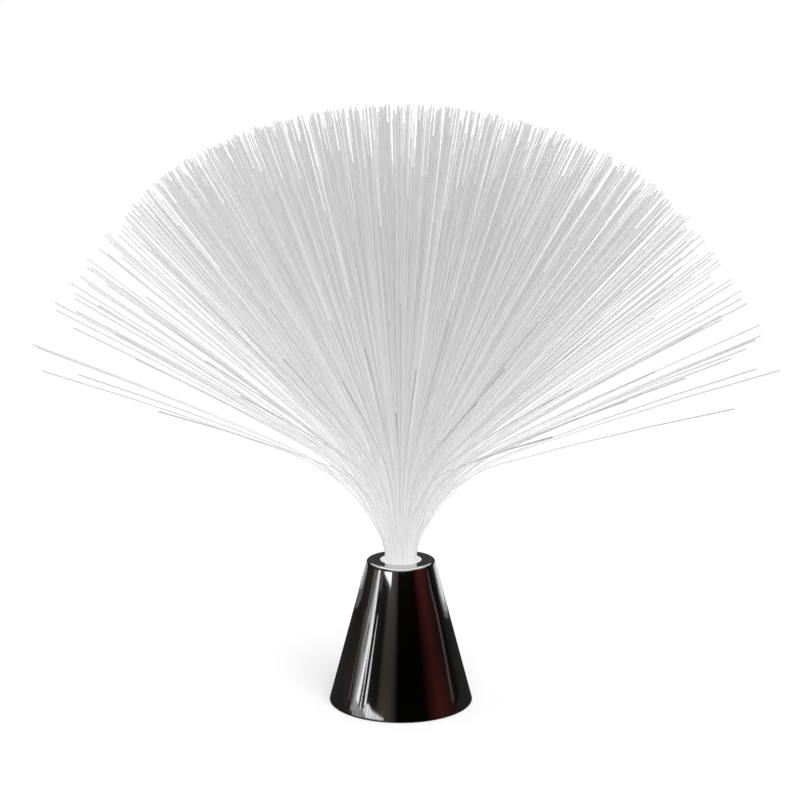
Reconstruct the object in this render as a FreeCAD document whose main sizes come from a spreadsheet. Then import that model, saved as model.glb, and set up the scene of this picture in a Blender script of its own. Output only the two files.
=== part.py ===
import FreeCAD, Part
import math
import os
import re
import Sketcher

# Fiber optic lamp: a hollow cone base with a light socket in its top, a spray of
# plastic light fibers that stands in the socket, and a battery tray under the cone.
# Millimetres. The origin is the centre of the circle on which the cone stands, +Z is up.

# ---------------------------------------------------------------- driving sizes

SIZES = [
    # cone shell: as wide below as the battery tray needs, and above as the socket needs
    ("cone_height", 75.5, "height of the cone"),
    ("shell_wall", 1.86, "wall of the cone, measured level"),
    ("tray_room", 0.97, "room between the tray's upper corners and the cone"),
    ("flange_room", 2.64, "room between the sleeve's flange and the cone's top edge"),
    ("top_plate", 2.2, "thickness of the cone's flat top"),
    ("edge_round", 0.7, "rounding of the cone's upper edge"),
    ("rim_round", 0.4, "rounding of the cone's lower edge"),
    # screws that hold the base plate, and what they go through
    ("shank_radius", 1.4, "radius of a base screw's shank"),
    ("shank_length", 10.0, "length of that shank"),
    ("thread_gap", 0.05, "pilot hole beyond the shank, which the thread fills"),
    ("shank_gap", 0.3, "clearance hole beyond the shank"),
    ("head_reach", 1.3, "screw head beyond its shank"),
    ("head_thick", 1.8, "thickness of a base screw's head"),
    ("head_gap", 0.3, "room round the head in its well"),
    ("head_sink", 0.6, "head below the underside of the plate"),
    ("well_wall", 0.9, "wall of the well that the head sits in"),
    ("well_land", 1.6, "plastic between the head and the boss"),
    ("well_space", 2.0, "space between the wells and the tray"),
    ("boss_wall", 1.75, "wall of the screw bosses in the cone"),
    ("pilot_spare", 2.6, "pilot hole beyond the screw's end"),
    # fibers, ferrule and socket
    ("bundle_radius", 8.15, "radius of the packed fibers"),
    ("bundle_gap", 0.04, "gap between the bundle and the ferrule"),
    ("ferrule_wall", 1.01, "wall of the ferrule"),
    ("ferrule_length", 24.0, "length of the ferrule"),
    ("ferrule_set", 0.2, "ferrule's top below the top of the cone"),
    ("ferrule_lead", 0.5, "chamfer at the ferrule's lower edge"),
    ("ferrule_gap", 0.1, "running gap between the ferrule and the sleeve"),
    ("sleeve_wall", 1.4, "wall of the white sleeve"),
    ("flange_reach", 2.3, "sleeve's flange beyond its tube"),
    ("flange_thick", 1.5, "thickness of that flange"),
    ("ledge_reach", 0.8, "ledge under the ferrule, in from the sleeve's bore"),
    ("ledge_thick", 1.5, "thickness of that ledge"),
    ("glue_gap", 0.05, "gap round parts that are glued or riveted in"),
    ("stop_gap", 0.15, "gap between the ferrule and its ledge"),
    ("fiber_diameter", 0.6, "diameter of a fiber"),
    ("fiber_space", 0.005, "space between two fibers in the bundle"),
    ("neck_height", 0.9, "height above the cone at which the fibers fan out"),
    ("neck_bend", 14.5, "length of the first, tight bend"),
    ("fan_bend", 74.0, "length of the second bend"),
    ("tip_bend", 143.5, "length of the last, slow bend"),
    ("spray_lean", 74.0, "lean of the outermost fiber's tip, in degrees"),
    ("length_spread", 6.0, "difference in length between neighbouring fibers"),
    ("stray_cut", 6.0, "how much shorter the outermost fibers are"),
    # light engine under the bundle
    ("plug_gap", 0.1, "gap between the light holder and the sleeve"),
    ("plug_depth", 5.0, "how far the light holder goes into the sleeve"),
    ("cup_rim", 1.0, "wall of the reflector cup at its mouth"),
    ("holder_reach", 2.3, "light holder's flange beyond the sleeve"),
    ("holder_flange", 3.0, "thickness of that flange"),
    ("led_radius", 2.5, "radius of the diode's lens"),
    ("led_gap", 0.15, "gap round the diode's lens"),
    ("led_rim_reach", 0.4, "diode's rim beyond its lens"),
    ("led_rim", 1.0, "thickness of that rim"),
    ("led_length", 8.6, "length of the diode from its rim to its dome"),
    ("lead_radius", 0.25, "radius of a lead"),
    ("lead_gap", 0.15, "gap round a lead in the board"),
    ("lead_pitch", 1.27, "spacing of the leads"),
    ("lead_stub", 1.6, "lead left below the board"),
    ("board_edge", 0.5, "circuit board's edge in from the holder's edge"),
    ("board_thick", 1.6, "thickness of the circuit board"),
    ("standoff", 1.2, "space between the board and the light holder"),
    ("standoff_wall", 1.35, "wall of the two standoffs"),
    ("standoff_edge", 1.3, "standoffs in from the holder's edge"),
    ("small_shank", 0.8, "radius of a board screw's shank"),
    ("small_shank_length", 5.0, "length of that shank"),
    ("small_head_reach", 1.1, "board screw's head beyond its shank"),
    ("small_head_thick", 1.2, "thickness of that head"),
    ("small_pilot_spare", 0.2, "pilot hole beyond the board screw's end"),
    ("chip_radius", 2.8, "resin drop over the control chip"),
    ("chip_rise", 1.3, "height of that drop"),
    ("chip_out", 6.0, "chip and resistors from the board's middle"),
    ("resistor_long", 3.2, "length of a resistor"),
    ("resistor_wide", 1.6, "width of a resistor"),
    ("resistor_thick", 0.55, "thickness of a resistor"),
    ("resistor_space", 0.8, "space between the resistors"),
    # base plate and battery tray
    ("plate_recess", 1.5, "underside of the base plate above the table"),
    ("plate_thick", 1.8, "thickness of the base plate"),
    ("plate_gap", 0.25, "gap between the base plate and the cone"),
    ("cell_radius", 5.25, "radius of a battery cell"),
    ("cell_length", 44.5, "length of a cell with its nub"),
    ("cell_space", 0.4, "space between the cells"),
    ("cell_nub_radius", 1.9, "radius of a cell's nub"),
    ("cell_nub", 0.8, "height of a cell's nub"),
    ("cell_chamfer", 0.5, "chamfer of a cell's ends"),
    ("cell_side_gap", 0.45, "room beside the outer cells"),
    ("cell_gap", 0.3, "room above and below the cells"),
    ("tray_wall", 1.5, "walls of the battery tray"),
    ("tray_round", 3.0, "rounding of the tray's upright corners"),
    ("door_thick", 1.6, "thickness of the battery door"),
    ("door_gap", 0.25, "gap round the battery door"),
    ("door_ledge", 0.6, "ledge that the door closes on"),
    ("ledge_gap", 0.1, "gap between the door and its ledge"),
    ("tab_wide", 1.8, "width of the door's hinge tabs"),
    ("tab_thick", 1.1, "thickness of the hinge tabs"),
    ("tab_reach", 2.35, "hinge tabs beyond the door's edge"),
    ("tab_lift", 0.2, "hinge tabs above the base plate"),
    ("tab_root", 1.4, "length of the root that carries a tab"),
    ("tab_room", 0.6, "room round a hinge tab in the tray's wall"),
    ("tongue_wide", 8.0, "width of the door's spring tongue"),
    ("tongue_long", 9.0, "length of that tongue"),
    ("tongue_slit", 0.8, "slit on either side of the tongue"),
    ("catch_rise", 1.2, "height of the catch on the tongue"),
    ("catch_thick", 0.8, "thickness of the catch"),
    ("grip_long", 12.0, "length of the grip grooves in the door"),
    ("grip_wide", 1.0, "width of a grip groove"),
    ("grip_deep", 0.5, "depth of a grip groove"),
    ("grip_space", 1.2, "space between the grip grooves"),
    # contacts
    ("contact_thick", 0.4, "sheet metal of the contacts"),
    ("contact_space", 2.9, "space between two contacts"),
    ("contact_edge", 1.5, "contacts in from the top and bottom of the cells"),
    ("bridge_high", 3.0, "height of the bridge of a double contact"),
    ("contact_bump", 0.4, "height of the pressed bump"),
    ("bump_radius", 1.8, "radius of the pressed bump"),
    ("solder_wide", 3.0, "width of a solder tab"),
    ("solder_rise", 3.0, "solder tab above the tray"),
    ("solder_gap", 0.1, "room round a solder tab"),
    ("spring_length", 3.3, "length of a loaded contact spring"),
    ("spring_wire", 0.5, "wire of a contact spring"),
    ("spring_radius", 3.2, "radius of the spring on its plate"),
    ("spring_tip", 1.9, "radius of the spring at the cell"),
    ("spring_turns", 3.0, "turns of a contact spring"),
    # slide switch
    ("switch_space", 4.2, "space between the switch and the tray"),
    ("switch_long", 10.0, "length of the switch case"),
    ("switch_wide", 5.4, "width of the switch case"),
    ("switch_high", 4.6, "height of the switch case"),
    ("switch_sheet", 0.4, "sheet metal of the switch case"),
    ("switch_lid", 1.2, "thickness of the switch's contact plate"),
    ("switch_lid_proud", 0.2, "contact plate above the case"),
    ("switch_travel", 2.0, "travel of the knob"),
    ("knob_long", 3.0, "length of the knob"),
    ("knob_wide", 2.4, "width of the knob"),
    ("knob_set", 0.8, "end of the knob above the table"),
    ("knob_gap", 0.3, "room round the knob"),
    ("slider_reach", 0.6, "slider beyond the knob, inside the switch"),
    ("slider_thick", 1.7, "thickness of that slider"),
    ("slider_lift", 0.15, "slider above the floor of the case"),
    ("cradle_wall", 1.2, "walls that hold the switch"),
    ("cradle_gap", 0.15, "room beside the switch"),
    ("cradle_high", 4.0, "height of those walls"),
    ("terminal_space", 1.5, "space between the switch terminals"),
    ("terminal_long", 1.0, "width of a terminal"),
    ("terminal_thick", 0.5, "thickness of a terminal"),
    ("terminal_rise", 3.0, "terminal above the contact plate"),
    # wires
    ("wire_radius", 0.6, "radius of an insulated wire"),
    ("wire_pad", 7.0, "wires on the board, out from its middle"),
]

document = FreeCAD.newDocument("fiber_optic_lamp")
sheet = document.addObject("Spreadsheet::Sheet", "sizes")
for row, (alias, value, meaning) in enumerate(SIZES, start=1):
    sheet.set(f"A{row}", meaning)
    sheet.set(f"B{row}", str(value))
    sheet.setAlias(f"B{row}", alias)
document.recompute()

ALIASES = {alias for alias, value, meaning in SIZES}
NODES = {}


def linked(expression):
    """Write an expression on the sheet's names so that any object can hold it."""
    def link(word):
        return f"sizes.{word[0]}" if word[0] in ALIASES else word[0]
    return re.sub(r"[a-z_]+", link, str(expression))


def size(expression):
    """The number that an expression on the sheet's names gives now."""
    return float(sheet.evalExpression(str(expression)))


# ---------------------------------------------------------------- shared places
# Radii, heights and places that several pieces share, as expressions on the sheet.

FERRULE_RADIUS = "(bundle_radius + bundle_gap + ferrule_wall)"
SLEEVE_BORE = f"({FERRULE_RADIUS} + ferrule_gap)"
SLEEVE_RADIUS = f"({SLEEVE_BORE} + sleeve_wall)"
FLANGE_RADIUS = f"({SLEEVE_RADIUS} + flange_reach)"
PLUG_RADIUS = f"({SLEEVE_BORE} - plug_gap)"
HOLDER_RADIUS = f"({SLEEVE_RADIUS} + holder_reach)"
STANDOFF_RADIUS = "(small_shank + thread_gap + standoff_wall)"
BOARD_SCREW_OUT = f"({HOLDER_RADIUS} - standoff_edge - {STANDOFF_RADIUS})"
WELL_BORE = "(shank_radius + head_reach + head_gap)"

PLATE_TOP = "(plate_recess + plate_thick)"
WELL_DEPTH = "(head_thick + head_sink)"
WELL_TOP = f"(plate_recess + {WELL_DEPTH} + well_land)"
DOOR_TOP = "(plate_recess + door_thick)"
TAB_FOOT = f"({PLATE_TOP} + tab_lift)"
CELL_AXIS = f"({DOOR_TOP} + cell_gap + cell_radius)"
TRAY_CEILING = f"({CELL_AXIS} + cell_radius + cell_gap)"
TRAY_TOP = f"({TRAY_CEILING} + tray_wall)"
SOLDER_TOP = f"({TRAY_TOP} + solder_rise)"
SWITCH_TOP = f"({PLATE_TOP} + switch_high)"
LID_TOP = f"({SWITCH_TOP} + switch_lid_proud)"
TERMINAL_TOP = f"({LID_TOP} + terminal_rise)"

CELL_PITCH = "(2 * cell_radius + cell_space)"
TRAY_HALF_LONG = "((cell_length + contact_bump + spring_length) / 2 + contact_thick)"
TRAY_HALF_WIDE = f"({CELL_PITCH} + cell_radius + cell_side_gap)"
TRAY_SIDE = f"({TRAY_HALF_WIDE} + tray_wall)"
TRAY_END = f"({TRAY_HALF_LONG} + tray_wall)"
DOOR_EDGE = f"(-{TRAY_HALF_LONG} + door_gap)"
DOOR_END = f"({TRAY_HALF_LONG} + door_ledge - door_gap)"
SWITCH_OUT = f"({TRAY_SIDE} + switch_space + switch_wide / 2)"
TERMINAL_PITCH = "(terminal_long + terminal_space)"

TRAY_CORNER = (f"(sqrt(({TRAY_END} - tray_round) ^ 2 + ({TRAY_SIDE} - tray_round) ^ 2)"
               " + tray_round)")
TOP_RADIUS = f"({FLANGE_RADIUS} + flange_room + shell_wall)"
BASE_RADIUS = (f"(({TRAY_CORNER} + tray_room + shell_wall - {TOP_RADIUS} * {TRAY_TOP} / cone_height)"
               f" / (1 - {TRAY_TOP} / cone_height))")

FERRULE_TOP = "(cone_height - ferrule_set)"
FERRULE_FOOT = f"({FERRULE_TOP} - ferrule_length)"
LEDGE_TOP = f"({FERRULE_FOOT} - stop_gap)"
HOLDER_TOP = f"({LEDGE_TOP} - ledge_thick)"
HOLDER_SEAT = f"({HOLDER_TOP} - plug_depth)"
HOLDER_FOOT = f"({HOLDER_SEAT} - holder_flange)"
BOARD_TOP = f"({HOLDER_FOOT} - standoff)"
BOARD_FOOT = f"({BOARD_TOP} - board_thick)"

SIDES = ("-", "+")


def inner_radius(height):
    """Radius of the cone's inside at a height."""
    return f"({BASE_RADIUS} - shell_wall - {height} * ({BASE_RADIUS} - {TOP_RADIUS}) / cone_height)"


SCREW_ACROSS = f"({TRAY_SIDE} + well_space + {WELL_BORE} + well_wall)"
SCREW_CIRCLE = f"({inner_radius(WELL_TOP)} - plate_gap - {WELL_BORE} - well_wall)"
SCREW_ALONG = f"sqrt({SCREW_CIRCLE} ^ 2 - {SCREW_ACROSS} ^ 2)"


# ---------------------------------------------------------------- drawing helpers

def bind(thing, path, expression):
    thing.setExpression(path, linked(expression))


def new_body(name):
    body = document.addObject("PartDesign::Body", name)
    body.Label = name
    NODES[name] = body
    return body


def new_sketch(body, role, offset="0"):
    """A sketch on one of the body's origin planes, moved along the plane's normal."""
    sketch = body.newObject("Sketcher::SketchObject", f"{body.Name}_sketch")
    plane = [feature for feature in body.Origin.OriginFeatures if feature.Role == role][0]
    sketch.AttachmentSupport = [(plane, "")]
    sketch.MapMode = "FlatFace"
    bind(sketch, "AttachmentOffset.Base.z", offset)
    return sketch


def pin_point(sketch, geometry, point, across, along):
    """Fix a point of the sketch at two distances from its origin."""
    for kind, distance in (("DistanceX", across), ("DistanceY", along)):
        constraint = Sketcher.Constraint(kind, -1, 1, geometry, point, size(distance))
        number = sketch.addConstraint(constraint)
        bind(sketch, f"Constraints[{number}]", distance)


def draw_outline(sketch, corners):
    """A closed outline of straight lines through the corners."""
    first = sketch.GeometryCount
    count = len(corners)
    places = [FreeCAD.Vector(size(across), size(along), 0) for across, along in corners]
    for index in range(count):
        sketch.addGeometry(Part.LineSegment(places[index], places[(index + 1) % count]))
    for index in range(count):
        after = first + (index + 1) % count
        sketch.addConstraint(Sketcher.Constraint("Coincident", first + index, 2, after, 1))
    for index, (across, along) in enumerate(corners):
        pin_point(sketch, first + index, 1, across, along)


def draw_box(sketch, low_x, high_x, low_y, high_y):
    draw_outline(sketch, [(low_x, low_y), (high_x, low_y), (high_x, high_y), (low_x, high_y)])


def draw_circle(sketch, across, along, radius):
    centre = FreeCAD.Vector(size(across), size(along), 0)
    circle = Part.Circle(centre, FreeCAD.Vector(0, 0, 1), size(radius))
    number = sketch.addGeometry(circle)
    pin_point(sketch, number, 3, across, along)
    constraint = sketch.addConstraint(Sketcher.Constraint("Radius", number, size(radius)))
    bind(sketch, f"Constraints[{constraint}]", radius)


def pad(body, sketch, length):
    feature = body.newObject("PartDesign::Pad", f"{body.Name}_pad")
    feature.Profile = sketch
    bind(feature, "Length", length)
    document.recompute()
    return feature


def pocket(body, sketch, depth):
    """Cut from the sketch along its normal, and make sure that something was cut."""
    before = body.Shape.Volume
    feature = body.newObject("PartDesign::Pocket", f"{body.Name}_pocket")
    feature.Profile = sketch
    feature.Reversed = True
    bind(feature, "Length", depth)
    document.recompute()
    if not body.Shape.Volume < before:
        raise RuntimeError(f"{feature.Name} of {body.Label} cuts nothing")
    return feature


def revolve(body, sketch, axis="V_Axis"):
    feature = body.newObject("PartDesign::Revolution", f"{body.Name}_turned")
    feature.Profile = sketch
    feature.ReferenceAxis = (sketch, [axis])
    feature.Angle = 360
    document.recompute()
    return feature


def round_edges(body, radius, chosen):
    """Round the edges that the test picks, with one radius from the sheet."""
    base = body.Tip
    edges = [f"Edge{number}" for number, edge in enumerate(base.Shape.Edges, 1) if chosen(edge)]
    feature = body.newObject("PartDesign::Fillet", f"{body.Name}_round")
    feature.Base = (base, edges)
    bind(feature, "Radius", radius)
    document.recompute()
    return feature


def turned_piece(name, outline):
    """A body turned about +Z from an outline of (radius, height) corners."""
    body = new_body(name)
    sketch = new_sketch(body, "XZ_Plane")
    draw_outline(sketch, outline)
    revolve(body, sketch)
    return body


def primitive(kind, name, sizes, place=("0", "0", "0")):
    """A Part primitive whose sizes and place are expressions on the sheet."""
    thing = document.addObject(f"Part::{kind}", name)
    for path, expression in sizes.items():
        bind(thing, path, expression)
    for letter, expression in zip("xyz", place):
        bind(thing, f"Placement.Base.{letter}", expression)
    return thing


def joined(name, things):
    union = document.addObject("Part::MultiFuse", name)
    union.Shapes = things
    return union


def cut(name, base, tool):
    difference = document.addObject("Part::Cut", name)
    difference.Base = base
    difference.Tool = tool
    return difference


def as_node(thing, name):
    thing.Label = name
    NODES[name] = thing
    return thing


def solid_node(name, solids):
    """A node of one or more finished solids made in code."""
    feature = document.addObject("Part::Feature", name)
    feature.Shape = solids[0] if len(solids) == 1 else Part.Compound(solids)
    feature.Placement = FreeCAD.Placement()
    return as_node(feature, name)


def screw_places():
    return [(f"{x} {SCREW_ALONG}", f"{y} {SCREW_ACROSS}") for x in SIDES for y in SIDES]


# ---------------------------------------------------------------- cone shell

def make_cone_shell():
    """Moulded cone, open underneath, with a hole in its top and four screw bosses
    that run up inside until they meet the sloping wall."""
    outside = primitive("Cone", "cone_outside", {
        "Radius1": BASE_RADIUS, "Radius2": TOP_RADIUS, "Height": "cone_height"})
    document.recompute()
    rounded = document.addObject("Part::Fillet", "cone_rounded")
    rounded.Base = outside
    rounds = []
    for number, edge in enumerate(outside.Shape.Edges, 1):
        if not hasattr(edge.Curve, "Radius"):
            continue
        at_top = edge.BoundBox.ZMin > size("cone_height / 2")
        radius = size("edge_round" if at_top else "rim_round")
        rounds.append((number, radius, radius))
    rounded.Edges = rounds

    inside_height = "(cone_height - top_plate)"
    inside = primitive("Cone", "cone_inside", {
        "Radius1": inner_radius("0"),
        "Radius2": inner_radius(inside_height),
        "Height": inside_height})
    bosses = [
        primitive("Cylinder", "boss", {
            "Radius": "shank_radius + thread_gap + boss_wall",
            "Height": f"{inside_height} - {WELL_TOP}"}, (x, y, WELL_TOP))
        for x, y in screw_places()]
    hollow = cut("cone_hollow", inside, joined("bosses", bosses))

    pilots = [
        primitive("Cylinder", "pilot", {
            "Radius": "shank_radius + thread_gap",
            "Height": "shank_length - well_land + pilot_spare"}, (x, y, WELL_TOP))
        for x, y in screw_places()]
    mouth = primitive("Cylinder", "sleeve_mouth", {
        "Radius": f"{SLEEVE_RADIUS} + glue_gap", "Height": "2 * top_plate"},
        ("0", "0", f"{inside_height} - top_plate / 2"))
    walled = cut("cone_walled", rounded, hollow)
    as_node(cut("cone_shell", walled, joined("cone_holes", pilots + [mouth])), "cone_shell")


# ---------------------------------------------------------------- socket and ferrule

def make_socket_sleeve():
    """White tube in the cone's top. Its flange is glued under the top, a ledge
    inside carries the ferrule, and the light holder plugs in from below."""
    flange_top = "(cone_height - top_plate)"
    flange_foot = f"({flange_top} - flange_thick)"
    ledge_bore = f"({SLEEVE_BORE} - ledge_reach)"
    turned_piece("socket_sleeve", [
        (SLEEVE_BORE, "cone_height"),
        (SLEEVE_RADIUS, "cone_height"),
        (SLEEVE_RADIUS, flange_top),
        (FLANGE_RADIUS, flange_top),
        (FLANGE_RADIUS, flange_foot),
        (SLEEVE_RADIUS, flange_foot),
        (SLEEVE_RADIUS, HOLDER_SEAT),
        (SLEEVE_BORE, HOLDER_SEAT),
        (SLEEVE_BORE, HOLDER_TOP),
        (ledge_bore, HOLDER_TOP),
        (ledge_bore, LEDGE_TOP),
        (SLEEVE_BORE, LEDGE_TOP)])


def make_ferrule():
    """Tube pressed round the fibers, which lifts out of the socket with them."""
    bore = "bundle_radius + bundle_gap"
    turned_piece("bundle_ferrule", [
        (bore, FERRULE_TOP),
        (FERRULE_RADIUS, FERRULE_TOP),
        (FERRULE_RADIUS, f"{FERRULE_FOOT} + ferrule_lead"),
        (f"{FERRULE_RADIUS} - ferrule_lead", FERRULE_FOOT),
        (bore, FERRULE_FOOT)])


# ---------------------------------------------------------------- fibers

GOLDEN_ANGLE = math.pi * (3 - math.sqrt(5))
SUNFLOWER_SPACING = 1.545   # closest spacing of a sunflower packing of one fiber in radius 1
LEAN_EVEN = 0.74            # share of the lean that grows evenly from the middle outwards
LEAN_STRAY_POWER = 16       # how suddenly the outermost fibers lean further
CUT_POWER = 8               # how suddenly the outermost fibers get shorter
BEND_SHARES = (0.37, 0.58, 0.05)
FIBER_GROUPS = ("fibers_core", "fibers_inner", "fibers_middle", "fibers_outer", "fibers_fringe")


def fiber_solid(radius, azimuth, lean, tip_length):
    """A fiber that stands straight in the bundle and leans out in three arcs."""
    top = size("cone_height + neck_height")
    place = FreeCAD.Vector(radius, 0, size(FERRULE_FOOT))
    start = FreeCAD.Vector(radius, 0, top)
    edges = [Part.LineSegment(place, start).toShape()]
    slant = 0.0
    lengths = (size("neck_bend"), size("fan_bend"), tip_length)
    for length, share in zip(lengths, BEND_SHARES):
        turn = lean * share
        bend = length / turn
        points = []
        for part in (0.5, 1.0):
            angle = slant + turn * part
            across = bend * (math.cos(slant) - math.cos(angle))
            rise = bend * (math.sin(angle) - math.sin(slant))
            points.append(start + FreeCAD.Vector(across, 0, rise))
        edges.append(Part.Arc(start, points[0], points[1]).toShape())
        start = points[1]
        slant += turn
    ring = Part.Circle(place, FreeCAD.Vector(0, 0, 1), size("fiber_diameter") / 2)
    solid = Part.Wire(edges).makePipeShell([Part.Wire([ring.toShape()])], True, False)
    solid.rotate(FreeCAD.Vector(0, 0, 0), FreeCAD.Vector(0, 0, 1), math.degrees(azimuth))
    return solid


def make_fibers():
    """Fibers packed like the seeds of a sunflower, so that each one leans a little
    further than those inside it and no two of them cross."""
    reach = size("bundle_radius - fiber_diameter / 2")
    count = int((SUNFLOWER_SPACING * reach / size("fiber_diameter + fiber_space")) ** 2)
    groups = {name: [] for name in FIBER_GROUPS}
    for index in range(count):
        share = math.sqrt((index + 0.5) / count)
        lean_share = LEAN_EVEN * share + (1 - LEAN_EVEN) * share ** LEAN_STRAY_POWER
        lean = math.radians(size("spray_lean")) * lean_share
        shortening = size("length_spread") * (index * GOLDEN_ANGLE % 1)
        shortening += size("stray_cut") * share ** CUT_POWER
        name = FIBER_GROUPS[len(FIBER_GROUPS) * index // count]
        groups[name].append(fiber_solid(
            reach * share, index * GOLDEN_ANGLE, lean, size("tip_bend") - shortening))
    for name, solids in groups.items():
        solid_node(name, solids)
    return count


# ---------------------------------------------------------------- light engine

def make_light_holder():
    """Round holder with a reflector cup. It plugs into the sleeve from below."""
    led_hole = "(led_radius + led_gap)"
    body = turned_piece("light_holder", [
        (led_hole, HOLDER_FOOT),
        (HOLDER_RADIUS, HOLDER_FOOT),
        (HOLDER_RADIUS, HOLDER_SEAT),
        (PLUG_RADIUS, HOLDER_SEAT),
        (PLUG_RADIUS, HOLDER_TOP),
        (f"{PLUG_RADIUS} - cup_rim", HOLDER_TOP),
        (led_hole, HOLDER_SEAT)])
    feet = new_sketch(body, "XY_Plane", BOARD_TOP)
    for side in SIDES:
        draw_circle(feet, f"{side} {BOARD_SCREW_OUT}", "0", STANDOFF_RADIUS)
    pad(body, feet, "standoff")
    pilots = new_sketch(body, "XY_Plane", BOARD_TOP)
    for side in SIDES:
        draw_circle(pilots, f"{side} {BOARD_SCREW_OUT}", "0", "small_shank + thread_gap")
    pocket(body, pilots, "small_shank_length - board_thick + small_pilot_spare")


def lead_places():
    """The four leads stand in a row through the middle of the board."""
    return [f"{step} * lead_pitch" for step in (-1.5, -0.5, 0.5, 1.5)]


def make_color_led():
    """Clear domed diode with three colors inside and four leads."""
    dome = f"{BOARD_TOP} + led_length - led_radius"
    rim = primitive("Cylinder", "led_rim_disc", {
        "Radius": "led_radius + led_rim_reach", "Height": "led_rim"}, ("0", "0", BOARD_TOP))
    lens = primitive("Cylinder", "led_lens", {
        "Radius": "led_radius", "Height": "led_length - led_radius"}, ("0", "0", BOARD_TOP))
    ball = primitive("Sphere", "led_dome", {"Radius": "led_radius"}, ("0", "0", dome))
    as_node(joined("color_led", [rim, lens, ball]), "color_led")

    leads = new_body("led_leads")
    sketch = new_sketch(leads, "XY_Plane", f"{BOARD_FOOT} - lead_stub")
    for across in lead_places():
        draw_circle(sketch, across, "0", "lead_radius")
    leads.AllowCompound = True
    pad(leads, sketch, "board_thick + lead_stub")


def make_control_board():
    """Round circuit board screwed under the light holder."""
    body = new_body("control_board")
    disc = new_sketch(body, "XY_Plane", BOARD_FOOT)
    draw_circle(disc, "0", "0", f"{HOLDER_RADIUS} - board_edge")
    pad(body, disc, "board_thick")
    holes = new_sketch(body, "XY_Plane", BOARD_FOOT)
    for side in SIDES:
        draw_circle(holes, f"{side} {BOARD_SCREW_OUT}", "0", "small_shank + shank_gap")
    for across in lead_places():
        draw_circle(holes, across, "0", "lead_radius + lead_gap")
    pocket(body, holes, "board_thick")

    chip = turned_piece("control_chip", [
        ("0", "0"),
        ("chip_radius", "0"),
        ("chip_radius * 0.82", "-chip_rise * 0.62"),
        ("chip_radius * 0.45", "-chip_rise * 0.93"),
        ("0", "-chip_rise")])
    bind(chip, "Placement.Base.y", "-chip_out")
    bind(chip, "Placement.Base.z", BOARD_FOOT)

    resistors = new_body("board_resistors")
    resistors.AllowCompound = True
    sketch = new_sketch(resistors, "XY_Plane", f"{BOARD_FOOT} - resistor_thick")
    for step in (-1, 0, 1):
        middle = f"{step} * (resistor_wide + resistor_space)"
        draw_box(sketch, f"{middle} - resistor_wide / 2", f"{middle} + resistor_wide / 2",
                 "chip_out - resistor_long / 2", "chip_out + resistor_long / 2")
    pad(resistors, sketch, "resistor_thick")


def screw_solid(head_radius, head_thick, shank_radius, shank_length):
    """A pan head screw pointing up, its head below z = 0, with a cross recess."""
    head = Part.makeCylinder(head_radius, head_thick, FreeCAD.Vector(0, 0, -head_thick))
    rim = [edge for edge in head.Edges if edge.BoundBox.ZMax < -head_thick / 2]
    head = head.makeFillet(head_thick * 0.35, rim)
    tip = shank_radius * 0.5
    shank = Part.makeCylinder(shank_radius, shank_length - tip)
    point = Part.makeCone(shank_radius, tip, tip, FreeCAD.Vector(0, 0, shank_length - tip))
    slot_long = head_radius * 1.1
    slot_wide = head_radius * 0.24
    slot_deep = head_thick * 0.55
    cross = []
    for long, wide in ((slot_long, slot_wide), (slot_wide, slot_long)):
        corner = FreeCAD.Vector(-long / 2, -wide / 2, -head_thick)
        cross.append(Part.makeBox(long, wide, slot_deep, corner))
    return head.fuse([shank, point]).cut(cross[0]).cut(cross[1])


def make_screws():
    """Four screws through the base plate, and two small ones under the board."""
    large = screw_solid(size("shank_radius + head_reach"), size("head_thick"),
                        size("shank_radius"), size("shank_length"))
    seat = size(f"plate_recess + {WELL_DEPTH}")
    screws = [
        large.translated(FreeCAD.Vector(size(x), size(y), seat)) for x, y in screw_places()]
    solid_node("base_screws", screws)

    small = screw_solid(size("small_shank + small_head_reach"), size("small_head_thick"),
                        size("small_shank"), size("small_shank_length"))
    screws = [
        small.translated(FreeCAD.Vector(size(f"{side} {BOARD_SCREW_OUT}"), 0, size(BOARD_FOOT)))
        for side in SIDES]
    solid_node("board_screws", screws)


# ---------------------------------------------------------------- base plate

def tab_places():
    """The hinge tabs lie between the cells."""
    return [f"{side} {CELL_PITCH} / 2" for side in SIDES]


def solder_places():
    """The end of the tray and the row of each of the two solder tabs."""
    return (("-", f"-{CELL_PITCH}"), ("+", CELL_PITCH))


def draw_solder_slot(sketch, end, row):
    wall = f"{end} {TRAY_HALF_LONG}"
    inner = f"{wall} - ({end} (contact_thick + solder_gap))"
    outer = f"{wall} + ({end} solder_gap)"
    half = "(solder_wide / 2 + solder_gap)"
    draw_box(sketch, inner, outer, f"{row} - {half}", f"{row} + {half}")


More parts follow.
